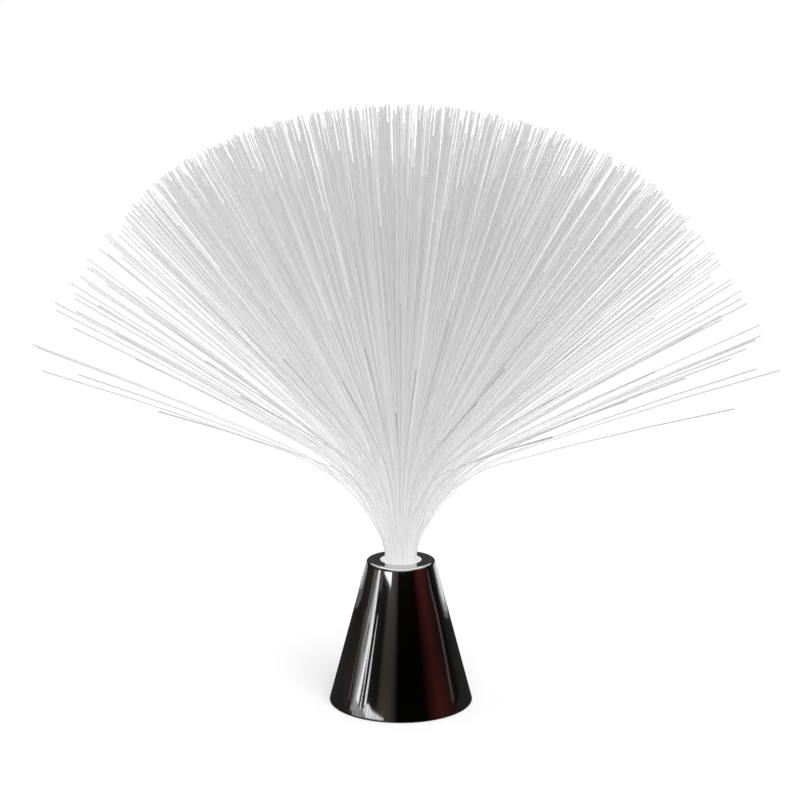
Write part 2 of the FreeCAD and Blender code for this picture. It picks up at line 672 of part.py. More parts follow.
def make_base_plate():
    """Round plate inside the cone's rim with the battery tray moulded on it."""
    body = new_body("base_plate")
    disc = new_sketch(body, "XY_Plane", "plate_recess")
    draw_circle(disc, "0", "0", f"{inner_radius(PLATE_TOP)} - plate_gap")
    pad(body, disc, "plate_thick")

    tray = new_sketch(body, "XY_Plane", "plate_recess")
    draw_box(tray, f"-{TRAY_END}", TRAY_END, f"-{TRAY_SIDE}", TRAY_SIDE)
    pad(body, tray, f"{TRAY_TOP} - plate_recess")
    plate_top = size(PLATE_TOP)

    def upright_corner(edge):
        box = edge.BoundBox
        return box.ZLength > plate_top and box.XLength + box.YLength < 1e-6 and box.ZMin > 0.9 * plate_top
    round_edges(body, "tray_round", upright_corner)

    wells = new_sketch(body, "XY_Plane", "plate_recess")
    for x, y in screw_places():
        draw_circle(wells, x, y, f"{WELL_BORE} + well_wall")
    pad(body, wells, f"{WELL_DEPTH} + well_land")

    cradle = new_sketch(body, "XY_Plane", PLATE_TOP)
    for side in SIDES:
        near = f"{side} (switch_long / 2 + cradle_gap)"
        far = f"{side} (switch_long / 2 + cradle_gap + cradle_wall)"
        draw_box(cradle, near, far, f"{SWITCH_OUT} - switch_wide / 2", f"{SWITCH_OUT} + switch_wide / 2")
    pad(body, cradle, "cradle_high")

    hollow = new_sketch(body, "XY_Plane", "plate_recess")
    draw_box(hollow, f"-{TRAY_HALF_LONG}", TRAY_HALF_LONG, f"-{TRAY_HALF_WIDE}", TRAY_HALF_WIDE)
    pocket(body, hollow, f"{TRAY_CEILING} - plate_recess")

    opening = new_sketch(body, "XY_Plane", "plate_recess")
    half = f"({TRAY_HALF_WIDE} + door_ledge)"
    draw_box(opening, f"-{TRAY_HALF_LONG}", f"{TRAY_HALF_LONG} + door_ledge", f"-{half}", half)
    pocket(body, opening, "door_thick + ledge_gap")

    bores = new_sketch(body, "XY_Plane", "plate_recess")
    for x, y in screw_places():
        draw_circle(bores, x, y, WELL_BORE)
    pocket(body, bores, WELL_DEPTH)
    holes = new_sketch(body, "XY_Plane", "plate_recess")
    for x, y in screw_places():
        draw_circle(holes, x, y, "shank_radius + shank_gap")
    pocket(body, holes, f"{WELL_DEPTH} + well_land")

    knob = new_sketch(body, "XY_Plane", "plate_recess")
    reach = "((knob_long + switch_travel) / 2 + knob_gap)"
    half = "(knob_wide / 2 + knob_gap)"
    draw_box(knob, f"-{reach}", reach, f"{SWITCH_OUT} - {half}", f"{SWITCH_OUT} + {half}")
    pocket(body, knob, "plate_thick")

    tabs = new_sketch(body, "XY_Plane", PLATE_TOP)
    half = "(tab_wide / 2 + tab_room)"
    sweep = f"sqrt(tab_reach ^ 2 + ({TAB_FOOT} + tab_thick - plate_recess) ^ 2)"
    for row in tab_places():
        draw_box(tabs, f"-{TRAY_HALF_LONG} - 2 * tray_wall", f"-{TRAY_HALF_LONG} + tray_wall",
                 f"{row} - {half}", f"{row} + {half}")
    pocket(body, tabs, f"{sweep} - plate_thick + tab_room")

    solder = new_sketch(body, "XY_Plane", CELL_AXIS)
    for end, row in solder_places():
        draw_solder_slot(solder, end, row)
    pocket(body, solder, f"{TRAY_TOP} - {CELL_AXIS}")


def make_battery_door():
    """Door that hooks in at one end with two tabs and snaps in with a tongue."""
    body = new_body("battery_door")
    panel = new_sketch(body, "XY_Plane", "plate_recess")
    half = f"({TRAY_HALF_WIDE} + door_ledge - door_gap)"
    draw_box(panel, DOOR_EDGE, DOOR_END, f"-{half}", half)
    pad(body, panel, "door_thick")

    root = f"({DOOR_EDGE} + door_gap)"
    roots = new_sketch(body, "XY_Plane", DOOR_TOP)
    for row in tab_places():
        draw_box(roots, root, f"{root} + tab_root", f"{row} - tab_wide / 2", f"{row} + tab_wide / 2")
    pad(body, roots, f"{TAB_FOOT} + tab_thick - {DOOR_TOP}")
    arms = new_sketch(body, "XY_Plane", TAB_FOOT)
    for row in tab_places():
        draw_box(arms, f"{DOOR_EDGE} - tab_reach", f"{root} + tab_root",
                 f"{row} - tab_wide / 2", f"{row} + tab_wide / 2")
    pad(body, arms, "tab_thick")

    catch = new_sketch(body, "XY_Plane", DOOR_TOP)
    tip = f"({TRAY_HALF_LONG} - door_gap)"
    draw_box(catch, f"{tip} - catch_thick", tip, "-tongue_wide / 2", "tongue_wide / 2")
    pad(body, catch, "catch_rise")

    slits = new_sketch(body, "XY_Plane", "plate_recess")
    for side in SIDES:
        draw_box(slits, f"{DOOR_END} - tongue_long", f"{DOOR_END} + tongue_slit",
                 f"{side} tongue_wide / 2", f"{side} (tongue_wide / 2 + tongue_slit)")
    pocket(body, slits, "door_thick")

    grips = new_sketch(body, "XY_Plane", "plate_recess")
    for step in range(3):
        near = f"({DOOR_END} - tongue_long - {step + 1} * grip_space - {step} * grip_wide)"
        draw_box(grips, f"{near} - grip_wide", near, "-grip_long / 2", "grip_long / 2")
    pocket(body, grips, "grip_deep")


# ---------------------------------------------------------------- cells and contacts

def make_cell(name, row, turned):
    """A small dry cell, its nub at -X, or at +X where it is turned round."""
    body = new_body(name)
    sketch = new_sketch(body, "XZ_Plane")
    can = "(cell_length - cell_nub)"
    draw_outline(sketch, [
        ("0", "0"),
        ("0", "cell_nub_radius"),
        ("cell_nub", "cell_nub_radius"),
        ("cell_nub", "cell_radius - cell_chamfer"),
        ("cell_nub + cell_chamfer", "cell_radius"),
        (f"cell_nub + {can} - cell_chamfer", "cell_radius"),
        (f"cell_nub + {can}", "cell_radius - cell_chamfer"),
        (f"cell_nub + {can}", "0")])
    revolve(body, sketch, "H_Axis")
    end = f"({TRAY_HALF_LONG} - contact_thick - contact_bump)"
    body.Placement.Rotation = FreeCAD.Rotation(FreeCAD.Vector(0, 0, 1), 180 if turned else 0)
    bind(body, "Placement.Base.x", end if turned else f"-{end}")
    bind(body, "Placement.Base.y", row)
    bind(body, "Placement.Base.z", CELL_AXIS)


def make_contact(name, end, pads, bumped, solder_row=None):
    """A contact stamped from sheet, flat against an end wall of the tray: one or two
    square pads with a bridge, a pressed bump, and a solder tab on the outer ones."""
    body = new_body(name)
    back = f"{end} {TRAY_HALF_LONG}"
    low = f"({CELL_AXIS} - cell_radius + contact_edge)"
    high = f"({CELL_AXIS} + cell_radius - contact_edge)"
    bridge = f"({high} - bridge_high)"
    half = f"(({CELL_PITCH} - contact_space) / 2)"
    first = pads[0]
    last = pads[-1]
    outline = [(f"{first} - {half}", high), (f"{first} - {half}", low), (f"{first} + {half}", low)]
    if len(pads) == 2:
        outline += [(f"{first} + {half}", bridge), (f"{last} - {half}", bridge),
                    (f"{last} - {half}", low), (f"{last} + {half}", low)]
    outline.append((f"{last} + {half}", high))
    if solder_row is not None:
        tab = "(solder_wide / 2)"
        outline += [(f"{solder_row} + {tab}", high), (f"{solder_row} + {tab}", SOLDER_TOP),
                    (f"{solder_row} - {tab}", SOLDER_TOP), (f"{solder_row} - {tab}", high)]
    inward = end == "+"
    plate = new_sketch(body, "YZ_Plane", f"{back} - contact_thick" if inward else back)
    draw_outline(plate, outline)
    pad(body, plate, "contact_thick")
    if bumped is not None:
        inner = "(contact_thick + contact_bump)"
        bump = new_sketch(body, "YZ_Plane", f"{back} - {inner}" if inward else back)
        draw_circle(bump, bumped, CELL_AXIS, "bump_radius")
        pad(body, bump, inner)


COIL_STRETCHES = 4    # stretches that a turn of a spring is drawn in
COIL_POINTS = 4       # steps along one stretch
COIL_ENDS = 1.2       # height that the two end turns take, in wires


def coil_at(turn):
    """Point and heading on a spring's centre line, so many turns from its foot."""
    taper = size("(spring_tip - spring_radius) / spring_turns")
    rise = size(f"(spring_length - {COIL_ENDS} * spring_wire) / spring_turns")
    radius = size("spring_radius") + taper * turn
    angle = 2 * math.pi * turn
    outward = FreeCAD.Vector(math.cos(angle), math.sin(angle), 0)
    onward = FreeCAD.Vector(-math.sin(angle), math.cos(angle), 0)
    upward = FreeCAD.Vector(0, 0, rise)
    heading = outward * taper + onward * (2 * math.pi * radius) + upward
    return outward * radius + upward * turn, heading.normalize()


def make_contact_springs():
    """Cone-shaped springs that press on the flat ends of the cells."""
    turns = size("spring_turns")
    wire = size("spring_wire")
    count = round(COIL_STRETCHES * turns)
    edges = []
    for stretch in range(count):
        spots = [coil_at((stretch + step / COIL_POINTS) * turns / count)
                 for step in range(COIL_POINTS + 1)]
        curve = Part.BSplineCurve()
        curve.interpolate(Points=[point for point, heading in spots],
                          InitialTangent=spots[0][1], FinalTangent=spots[-1][1])
        edges.append(curve.toShape())
    start, heading = coil_at(0)
    ring = Part.Wire([Part.Circle(start, heading, wire / 2).toShape()])
    coil = Part.Wire(edges).makePipeShell([ring], True, True)
    springs = []
    face = size(f"{TRAY_HALF_LONG} - contact_thick - {COIL_ENDS} / 2 * spring_wire")
    for end, row in ((1, f"-{CELL_PITCH}"), (-1, "0"), (1, CELL_PITCH)):
        spring = coil.copy()
        spring.rotate(FreeCAD.Vector(0, 0, 0), FreeCAD.Vector(0, 1, 0), -90 * end)
        spring.translate(FreeCAD.Vector(end * face, size(row), size(CELL_AXIS)))
        springs.append(spring)
    solid_node("contact_springs", springs)


# ---------------------------------------------------------------- slide switch

def make_switch():
    """Slide switch held between two walls on the base plate: a folded metal case, a
    plate with three terminals that closes it, and a slider whose knob hangs down."""
    case = new_body("switch_case")
    outer = new_sketch(case, "XY_Plane", PLATE_TOP)
    draw_box(outer, "-switch_long / 2", "switch_long / 2",
             f"{SWITCH_OUT} - switch_wide / 2", f"{SWITCH_OUT} + switch_wide / 2")
    pad(case, outer, "switch_high")
    inner = new_sketch(case, "XY_Plane", f"{PLATE_TOP} + switch_sheet")
    long = "(switch_long / 2 - switch_sheet)"
    wide = "(switch_wide / 2 - switch_sheet)"
    draw_box(inner, f"-{long}", long, f"{SWITCH_OUT} - {wide}", f"{SWITCH_OUT} + {wide}")
    pocket(case, inner, "switch_high")
    window = new_sketch(case, "XY_Plane", PLATE_TOP)
    reach = "((knob_long + switch_travel) / 2 + knob_gap)"
    half = "(knob_wide / 2 + knob_gap)"
    draw_box(window, f"-{reach}", reach, f"{SWITCH_OUT} - {half}", f"{SWITCH_OUT} + {half}")
    pocket(case, window, "switch_sheet")

    lid = new_body("switch_plate")
    foot = f"({LID_TOP} - switch_lid)"
    panel = new_sketch(lid, "XY_Plane", foot)
    draw_box(panel, f"-{long} + glue_gap", f"{long} - glue_gap",
             f"{SWITCH_OUT} - {wide} + glue_gap", f"{SWITCH_OUT} + {wide} - glue_gap")
    pad(lid, panel, "switch_lid")
    terminals = new_body("switch_terminals")
    terminals.AllowCompound = True
    slots = new_sketch(lid, "XY_Plane", foot)
    pins = new_sketch(terminals, "XY_Plane", foot)
    for step in (-1, 0, 1):
        middle = f"{step} * {TERMINAL_PITCH}"
        for sketch, room in ((slots, "glue_gap"), (pins, "0")):
            half_long = f"(terminal_long / 2 + {room})"
            half_thick = f"(terminal_thick / 2 + {room})"
            draw_box(sketch, f"{middle} - {half_long}", f"{middle} + {half_long}",
                     f"{SWITCH_OUT} - {half_thick}", f"{SWITCH_OUT} + {half_thick}")
    pocket(lid, slots, "switch_lid")
    pad(terminals, pins, "switch_lid + terminal_rise")

    knob = new_body("switch_knob")
    off = "(-switch_travel / 2)"
    slider_foot = f"({PLATE_TOP} + switch_sheet + slider_lift)"
    stem = new_sketch(knob, "XY_Plane", "knob_set")
    draw_box(stem, f"{off} - knob_long / 2", f"{off} + knob_long / 2",
             f"{SWITCH_OUT} - knob_wide / 2", f"{SWITCH_OUT} + knob_wide / 2")
    pad(knob, stem, f"{slider_foot} + slider_thick - knob_set")
    slider = new_sketch(knob, "XY_Plane", slider_foot)
    long = "(knob_long / 2 + slider_reach)"
    wide = "(knob_wide / 2 + slider_reach)"
    draw_box(slider, f"{off} - {long}", f"{off} + {long}",
             f"{SWITCH_OUT} - {wide}", f"{SWITCH_OUT} + {wide}")
    pad(knob, slider, "slider_thick")


# ---------------------------------------------------------------- wires

def wire_solid(name, points):
    """A round wire: straight runs joined by arcs as large as the runs allow."""
    radius = size("wire_radius")
    places = [FreeCAD.Vector(*(size(value) for value in point)) for point in points]
    edges = []
    start = places[0]
    bends = []
    for before, corner, after in zip(places, places[1:], places[2:]):
        back = (before - corner).normalize()
        ahead = (after - corner).normalize()
        turn = math.pi - back.getAngle(ahead)
        shorter = min((before - corner).Length, (after - corner).Length)
        bend = 0.45 * shorter / math.tan(turn / 2)
        bends.append(bend)
        tangent = 0.45 * shorter
        enter = corner + back * tangent
        leave = corner + ahead * tangent
        inward = (back + ahead).normalize()
        middle = corner + inward * (bend / math.cos(turn / 2) - bend)
        edges.append(Part.LineSegment(start, enter).toShape())
        edges.append(Part.Arc(enter, middle, leave).toShape())
        start = leave
    edges.append(Part.LineSegment(start, places[-1]).toShape())
    path = Part.Wire(edges)
    ring = Part.Circle(places[0], places[1] - places[0], radius)
    solid = path.makePipeShell([Part.Wire([ring.toShape()])], True, False)
    expected = math.pi * radius ** 2 * path.Length
    print(f"{name}: {path.Length:.1f} mm, smallest bend {min(bends):.1f} mm,"
          f" volume {solid.Volume / expected:.3f} of its section times its length")
    solid_node(name, [solid])


def between(low, high, share):
    """A place part of the way from one place to another."""
    return f"({low} + ({high} - {low}) * {share})"


def make_wires():
    """Red from the positive contact to the board, black from the negative contact
    to the switch, and white from the switch to the board."""
    tab = f"({TRAY_HALF_LONG} - contact_thick / 2)"
    end = TERMINAL_PITCH
    out = SWITCH_OUT
    wire_solid("red_wire", [
        (f"-{tab}", f"-{CELL_PITCH}", SOLDER_TOP),
        (f"-{tab}", f"-{CELL_PITCH}", between(SOLDER_TOP, BOARD_FOOT, 0.25)),
        (f"-{between(tab, 'wire_pad', 0.3)}", f"-{CELL_PITCH} + 1.5", between(SOLDER_TOP, BOARD_FOOT, 0.52)),
        (f"-{between(tab, 'wire_pad', 0.7)}", f"-{CELL_PITCH} + 3.5", between(SOLDER_TOP, BOARD_FOOT, 0.6)),
        ("-wire_pad", "-wire_pad + 1.5", between(SOLDER_TOP, BOARD_FOOT, 0.75)),
        ("-wire_pad", "-wire_pad + 1.5", BOARD_FOOT)])
    wire_solid("black_wire", [
        (tab, CELL_PITCH, SOLDER_TOP),
        (tab, CELL_PITCH, f"{SOLDER_TOP} + 4.5"),
        (between(tab, end, 0.25), between(CELL_PITCH, out, 0.25), f"{SOLDER_TOP} + 7"),
        (between(tab, end, 0.55), between(CELL_PITCH, out, 0.45), f"{SOLDER_TOP} + 6"),
        (between(tab, end, 0.85), between(CELL_PITCH, out, 0.8), f"{SOLDER_TOP} + 3"),
        (end, out, f"{TERMINAL_TOP} + 5"),
        (end, out, TERMINAL_TOP)])
    wire_solid("white_wire", [
        ("0", out, TERMINAL_TOP),
        ("0", out, f"{TERMINAL_TOP} + 5"),
        ("-2", f"{out} - 4", between(TERMINAL_TOP, BOARD_FOOT, 0.4)),
        ("-1", f"{out} - 10", between(TERMINAL_TOP, BOARD_FOOT, 0.65)),
        ("wire_pad - 1", "wire_pad - 1", between(TERMINAL_TOP, BOARD_FOOT, 0.78)),
        ("wire_pad - 1", "wire_pad - 1", BOARD_FOOT)])


# ---------------------------------------------------------------- build and write

make_cone_shell()
make_socket_sleeve()
make_ferrule()
fiber_count = make_fibers()
make_light_holder()
make_color_led()
make_control_board()
make_screws()
make_base_plate()
make_battery_door()
make_cell("cell_left", f"-{CELL_PITCH}", False)
make_cell("cell_middle", "0", True)
make_cell("cell_right", CELL_PITCH, False)
make_contact("positive_contact", "-", [f"-{CELL_PITCH}"], f"-{CELL_PITCH}", f"-{CELL_PITCH}")
make_contact("near_link_contact", "-", ["0", CELL_PITCH], CELL_PITCH)
make_contact("far_link_contact", "+", [f"-{CELL_PITCH}", "0"], "0")
make_contact("negative_contact", "+", [CELL_PITCH], None, CELL_PITCH)
make_contact_springs()
make_switch()
make_wires()
document.recompute()

for thing in document.Objects:
    if "Invalid" in thing.State or "Error" in thing.State:
        raise RuntimeError(f"{thing.Name} ({thing.Label}) failed: {thing.State}")
for name, node in NODES.items():
    if node.Shape.isNull() or not node.Shape.isValid() or not node.Shape.Solids:
        raise RuntimeError(f"{name} has no valid shape")

os.makedirs("parts", exist_ok=True)
for name, node in NODES.items():
    node.Shape.exportStep(os.path.join("parts", f"{name}.step"))
    print(f"{name}: {len(node.Shape.Solids)} solid(s), {node.Shape.Volume:.1f} mm3")
print(f"{fiber_count} fibers, {len(NODES)} nodes")
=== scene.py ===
import math
import random

import bpy
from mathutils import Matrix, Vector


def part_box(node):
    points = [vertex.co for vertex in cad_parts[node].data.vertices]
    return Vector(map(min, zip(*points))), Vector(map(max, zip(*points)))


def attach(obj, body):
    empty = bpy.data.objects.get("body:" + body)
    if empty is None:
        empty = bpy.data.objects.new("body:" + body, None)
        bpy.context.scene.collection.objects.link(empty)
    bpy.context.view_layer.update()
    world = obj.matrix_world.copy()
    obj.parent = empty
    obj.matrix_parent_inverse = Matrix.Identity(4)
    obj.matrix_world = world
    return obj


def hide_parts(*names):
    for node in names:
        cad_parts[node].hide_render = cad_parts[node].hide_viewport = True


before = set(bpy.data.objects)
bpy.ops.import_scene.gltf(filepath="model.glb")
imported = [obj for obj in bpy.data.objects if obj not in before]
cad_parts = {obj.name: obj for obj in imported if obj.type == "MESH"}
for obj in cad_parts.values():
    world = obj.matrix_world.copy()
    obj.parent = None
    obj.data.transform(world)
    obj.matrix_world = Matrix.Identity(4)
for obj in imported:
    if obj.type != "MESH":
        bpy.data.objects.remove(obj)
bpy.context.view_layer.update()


# ---------------------------------------------------------------- camera
# A long lens about a metre in front of the lamp, a little above the top of its
# spray, looking slightly down.
MM = 0.001
camera_distance = 943.0 * MM
camera_height = 344.2 * MM
camera_side = -0.45 * MM
camera_pitch = math.radians(11.09)

bpy.ops.object.camera_add(
    location=(camera_side, -camera_distance, camera_height),
    rotation=(math.pi / 2 - camera_pitch, 0, 0))
camera = bpy.context.object
camera.data.lens = 85.0
camera.data.sensor_width = 36.0
bpy.context.scene.camera = camera
bpy.context.scene.view_settings.view_transform = "Standard"


# ---------------------------------------------------------------- cone
# Injection-moulded plastic cone, vacuum-metallised to a smoked chrome mirror and
# lacquered. It is one shell with a flat top, and it stands on its lower rim.
cone_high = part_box("cone_shell")[1]
cone_height = cone_high.z
cone_foot_radius = cone_high.x
cone_top_radius = 17.5 * MM
cone_wall = 1.86 * MM
cone_top_plate = 2.2 * MM
cone_hole_radius = 10.75 * MM
cone_edge_round = 0.9 * MM
cone_foot_round = 0.4 * MM
cone_flat_margin = 1.0 * MM
cone_slope = (cone_foot_radius - cone_top_radius) / cone_height
inner_top = cone_height - cone_top_plate


def clear_selection():
    """An operator works on all that is selected, so nothing is, to begin with."""
    bpy.ops.object.select_all(action="DESELECT")


def make_active(piece):
    clear_selection()
    piece.select_set(True)
    bpy.context.view_layer.objects.active = piece


def select_ring(piece, radius, height, near=0.02 * MM):
    """In edit mode, select the vertices at a radius about Z and at a height."""
    bpy.ops.object.mode_set(mode="OBJECT")
    for vertex in piece.data.vertices:
        out = math.hypot(vertex.co.x, vertex.co.y)
        vertex.select = abs(out - radius) < near and abs(vertex.co.z - height) < near
    bpy.ops.object.mode_set(mode="EDIT")


def turn_profile(name, profile, segments, closed=True):
    """A round piece drawn as a ring and extruded from ring to ring along its
    profile of radii and heights. A closed profile comes back to its first ring, and
    an open one is capped at both ends."""
    clear_selection()
    radius, height = profile[0]
    bpy.ops.mesh.primitive_circle_add(vertices=segments, radius=radius, location=(0, 0, height))
    piece = bpy.context.object
    piece.name = name
    piece.data.name = name
    bpy.ops.object.transform_apply(location=True)
    bpy.ops.object.mode_set(mode="EDIT")
    bpy.ops.mesh.select_all(action="SELECT")
    for next_radius, next_height in profile[1:] + (profile[:1] if closed else []):
        bpy.ops.mesh.extrude_region_move(
            TRANSFORM_OT_translate={"value": (0, 0, next_height - height)})
        growth = next_radius / radius
        bpy.ops.transform.resize(value=(growth, growth, 1), center_override=(0, 0, next_height))
        radius, height = next_radius, next_height
    bpy.ops.mesh.select_all(action="SELECT")
    bpy.ops.mesh.remove_doubles(threshold=0.001 * MM)
    if not closed:
        bpy.ops.mesh.select_all(action="SELECT")
        bpy.ops.mesh.fill_holes(sides=0)
    bpy.ops.mesh.select_all(action="SELECT")
    bpy.ops.mesh.normals_make_consistent(inside=False)
    bpy.ops.object.mode_set(mode="OBJECT")
    return piece


def round_ring(piece, radius, height, size, steps):
    """Round one edge ring of a turned piece."""
    bpy.context.tool_settings.mesh_select_mode = (True, False, False)
    bpy.ops.object.mode_set(mode="EDIT")
    bpy.ops.mesh.select_all(action="DESELECT")
    select_ring(piece, radius, height)
    bpy.ops.mesh.bevel(offset=size, offset_type="OFFSET", segments=steps, profile=0.5, affect="EDGES")
    bpy.ops.mesh.select_all(action="DESELECT")
    bpy.ops.object.mode_set(mode="OBJECT")


def smooth(piece, degrees=35):
    """Shade a piece smoothly, but for its edges that are sharper than so much."""
    make_active(piece)
    bpy.ops.object.shade_smooth_by_angle(angle=math.radians(degrees))


def new_material(name, color, roughness, metallic=0.0):
    """A material with an even colour; its pattern is added to it afterwards."""
    material = bpy.data.materials.new(name)
    material.use_nodes = True
    shader = material.node_tree.nodes["Principled BSDF"]
    shader.inputs["Base Color"].default_value = (*color, 1.0)
    shader.inputs["Roughness"].default_value = roughness
    shader.inputs["Metallic"].default_value = metallic
    return material


def noise_on(material, grains, detail=4.0, stretch=(1.0, 1.0, 1.0)):
    """Noise on the piece's own coordinates, with so many grains to the metre."""
    nodes = material.node_tree.nodes
    links = material.node_tree.links
    place = nodes.new("ShaderNodeTexCoord")
    mapping = nodes.new("ShaderNodeMapping")
    mapping.inputs["Scale"].default_value = stretch
    pattern = nodes.new("ShaderNodeTexNoise")
    pattern.inputs["Scale"].default_value = grains
    pattern.inputs["Detail"].default_value = detail
    links.new(place.outputs["Object"], mapping.inputs["Vector"])
    links.new(mapping.outputs["Vector"], pattern.inputs["Vector"])
    return pattern.outputs["Fac"]


def spread(owner, pattern, low, high, start=0.3, end=0.7):
    """Turn a pattern's values from start to end into values from low to high."""
    ramp = owner.node_tree.nodes.new("ShaderNodeMapRange")
    ramp.inputs["From Min"].default_value = start
    ramp.inputs["From Max"].default_value = end
    ramp.inputs["To Min"].default_value = low
    ramp.inputs["To Max"].default_value = high
    owner.node_tree.links.new(pattern, ramp.inputs["Value"])
    return ramp.outputs["Result"]


def vary_roughness(material, pattern, low, high):
    """Roughness between two values, led by a pattern."""
    shader = material.node_tree.nodes["Principled BSDF"]
    material.node_tree.links.new(spread(material, pattern, low, high), shader.inputs["Roughness"])


def vary_color(material, pattern, first, second, start=0.3, end=0.7):
    """Colour between two tones, led by a pattern."""
    nodes = material.node_tree.nodes
    links = material.node_tree.links
    mix = nodes.new("ShaderNodeMix")
    mix.data_type = "RGBA"
    mix.inputs["A"].default_value = (*first, 1.0)
    mix.inputs["B"].default_value = (*second, 1.0)
    links.new(spread(material, pattern, 0.0, 1.0, start, end), mix.inputs["Factor"])
    links.new(mix.outputs["Result"], nodes["Principled BSDF"].inputs["Base Color"])


def add_bump(material, pattern, strength, depth):
    """Small hills and dips that follow a pattern."""
    nodes = material.node_tree.nodes
    links = material.node_tree.links
    bump = nodes.new("ShaderNodeBump")
    bump.inputs["Strength"].default_value = strength
    bump.inputs["Distance"].default_value = depth
    links.new(pattern, bump.inputs["Height"])
    links.new(bump.outputs["Normal"], nodes["Principled BSDF"].inputs["Normal"])


def dress(piece, material):
    """Give a piece or a CAD node one material all over."""
    piece.data.materials.clear()
    piece.data.materials.append(material)


def cone_radius(height):
    return cone_foot_radius - height * cone_slope


cone = turn_profile("cone", [
    (cone_foot_radius, 0.0),
    (cone_radius(cone_flat_margin), cone_flat_margin),
    (cone_radius(cone_height / 2), cone_height / 2),
    (cone_radius(cone_height - 2 * cone_flat_margin), cone_height - 2 * cone_flat_margin),
    (cone_top_radius, cone_height),
    (cone_top_radius - 2 * cone_flat_margin, cone_height),
    (cone_hole_radius, cone_height),
    (cone_hole_radius, inner_top),
    (cone_radius(inner_top) - cone_wall, inner_top),
    (cone_foot_radius - cone_wall, 0.0)], segments=256)
round_ring(cone, cone_top_radius, cone_height, cone_edge_round, steps=8)
round_ring(cone, cone_foot_radius, 0.0, cone_foot_round, steps=4)
smooth(cone, degrees=28)

smoked_chrome = new_material("smoked_chrome", (0.5, 0.5, 0.505), roughness=0.04, metallic=1.0)
chrome_shader = smoked_chrome.node_tree.nodes["Principled BSDF"]
chrome_shader.inputs["Coat Weight"].default_value = 1.0
chrome_shader.inputs["Coat Roughness"].default_value = 0.03
chrome_waves = noise_on(smoked_chrome, grains=28, detail=1.0, stretch=(1.0, 1.0, 0.35))
vary_roughness(smoked_chrome, noise_on(smoked_chrome, grains=90), 0.05, 0.08)
add_bump(smoked_chrome, chrome_waves, strength=0.15, depth=0.2 * MM)

black_plastic = new_material("black_plastic", (0.03, 0.03, 0.032), roughness=0.5)
vary_color(black_plastic, noise_on(black_plastic, grains=700), (0.024, 0.024, 0.026), (0.036, 0.036, 0.038))
vary_roughness(black_plastic, noise_on(black_plastic, grains=1500), 0.42, 0.6)
add_bump(black_plastic, noise_on(black_plastic, grains=2600, detail=2.0), strength=0.25, depth=0.08 * MM)

dress(cone, smoked_chrome)
cone.data.materials.append(black_plastic)
for face in cone.data.polygons:
    out = math.hypot(face.center.x, face.center.y)
    behind_the_wall = out < cone_radius(face.center.z) - 0.8 * cone_wall
    under_the_top = face.center.z < inner_top + 0.1 * MM
    face.material_index = 1 if behind_the_wall and under_the_top else 0
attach(cone, "base")
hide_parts("cone_shell")


# ---------------------------------------------------------------- screw bosses
# Four posts of the same black plastic, moulded inside the cone and run into its
# sloping wall. The screws of the base plate go up into them.
screw_along = 18.055 * MM
screw_across = 24.0 * MM
screw_out = math.hypot(screw_along, screw_across)
screw_turn = math.atan2(screw_across, screw_along)
boss_radius = 3.2 * MM
boss_foot = 5.5 * MM
boss_top = (cone_foot_radius - cone_wall - screw_out + boss_radius) / cone_slope
wall_middle = cone_foot_radius - 0.5 * cone_wall
wall_slant = math.hypot(1.0, cone_slope)


def copy_of(pattern, name):
    """A copy of a piece, with a mesh of its own, made active to be moved."""
    piece = pattern.copy()
    piece.data = pattern.data.copy()
    piece.name = name
    piece.data.name = name
    bpy.context.scene.collection.objects.link(piece)
    make_active(piece)
    return piece


clear_selection()
bpy.ops.mesh.primitive_cylinder_add(
    vertices=48, radius=boss_radius, depth=boss_top - boss_foot,
    location=(screw_out, 0, (boss_top + boss_foot) / 2))
boss_pattern = bpy.context.object
bpy.ops.object.transform_apply(location=True)
bpy.ops.object.mode_set(mode="EDIT")
bpy.ops.mesh.select_all(action="SELECT")
bpy.ops.mesh.bisect(
    plane_co=(wall_middle, 0, 0), plane_no=(1 / wall_slant, 0, cone_slope / wall_slant),
    use_fill=True, clear_outer=True)
bpy.ops.object.mode_set(mode="OBJECT")
smooth(boss_pattern)
dress(boss_pattern, black_plastic)

boss_turns = (math.pi + screw_turn, math.pi - screw_turn, -screw_turn, screw_turn)
for number, turn in enumerate(boss_turns):
    boss = copy_of(boss_pattern, f"screw_boss_{number + 1}")
    boss.rotation_euler = (0, 0, turn)
    bpy.ops.object.transform_apply(rotation=True)
    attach(boss, "base")
bpy.data.objects.remove(boss_pattern)


# ---------------------------------------------------------------- socket sleeve
# White moulded tube glued into the cone's top. Its rim lies flush with the chrome
# and shows as a white ring round the fibers.
sleeve_low, sleeve_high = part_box("socket_sleeve")
ferrule_low, ferrule_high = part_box("bundle_ferrule")
holder_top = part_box("light_holder")[1].z
sleeve_radius = 10.7 * MM
sleeve_bore = 9.3 * MM
flange_radius = sleeve_high.x
flange_thick = 1.5 * MM
flange_foot = inner_top - flange_thick
ledge_wide = 0.8 * MM
ledge_bore = sleeve_bore - ledge_wide
ledge_gap = 0.15 * MM
ledge_top = ferrule_low.z - ledge_gap
rim_round = 0.35 * MM
sleeve_edge_round = 0.15 * MM

sleeve = turn_profile("sleeve", [
    (sleeve_bore, cone_height),
    (sleeve_radius, cone_height),
    (sleeve_radius, inner_top),
    (flange_radius, inner_top),
    (flange_radius, flange_foot),
    (sleeve_radius, flange_foot),
    (sleeve_radius, sleeve_low.z),
    (sleeve_bore, sleeve_low.z),
    (sleeve_bore, holder_top),
    (ledge_bore, holder_top),
    (ledge_bore, ledge_top),
    (sleeve_bore, ledge_top)], segments=128)
round_ring(sleeve, sleeve_bore, cone_height, rim_round, steps=5)
round_ring(sleeve, sleeve_radius, cone_height, sleeve_edge_round, steps=3)
smooth(sleeve, degrees=28)

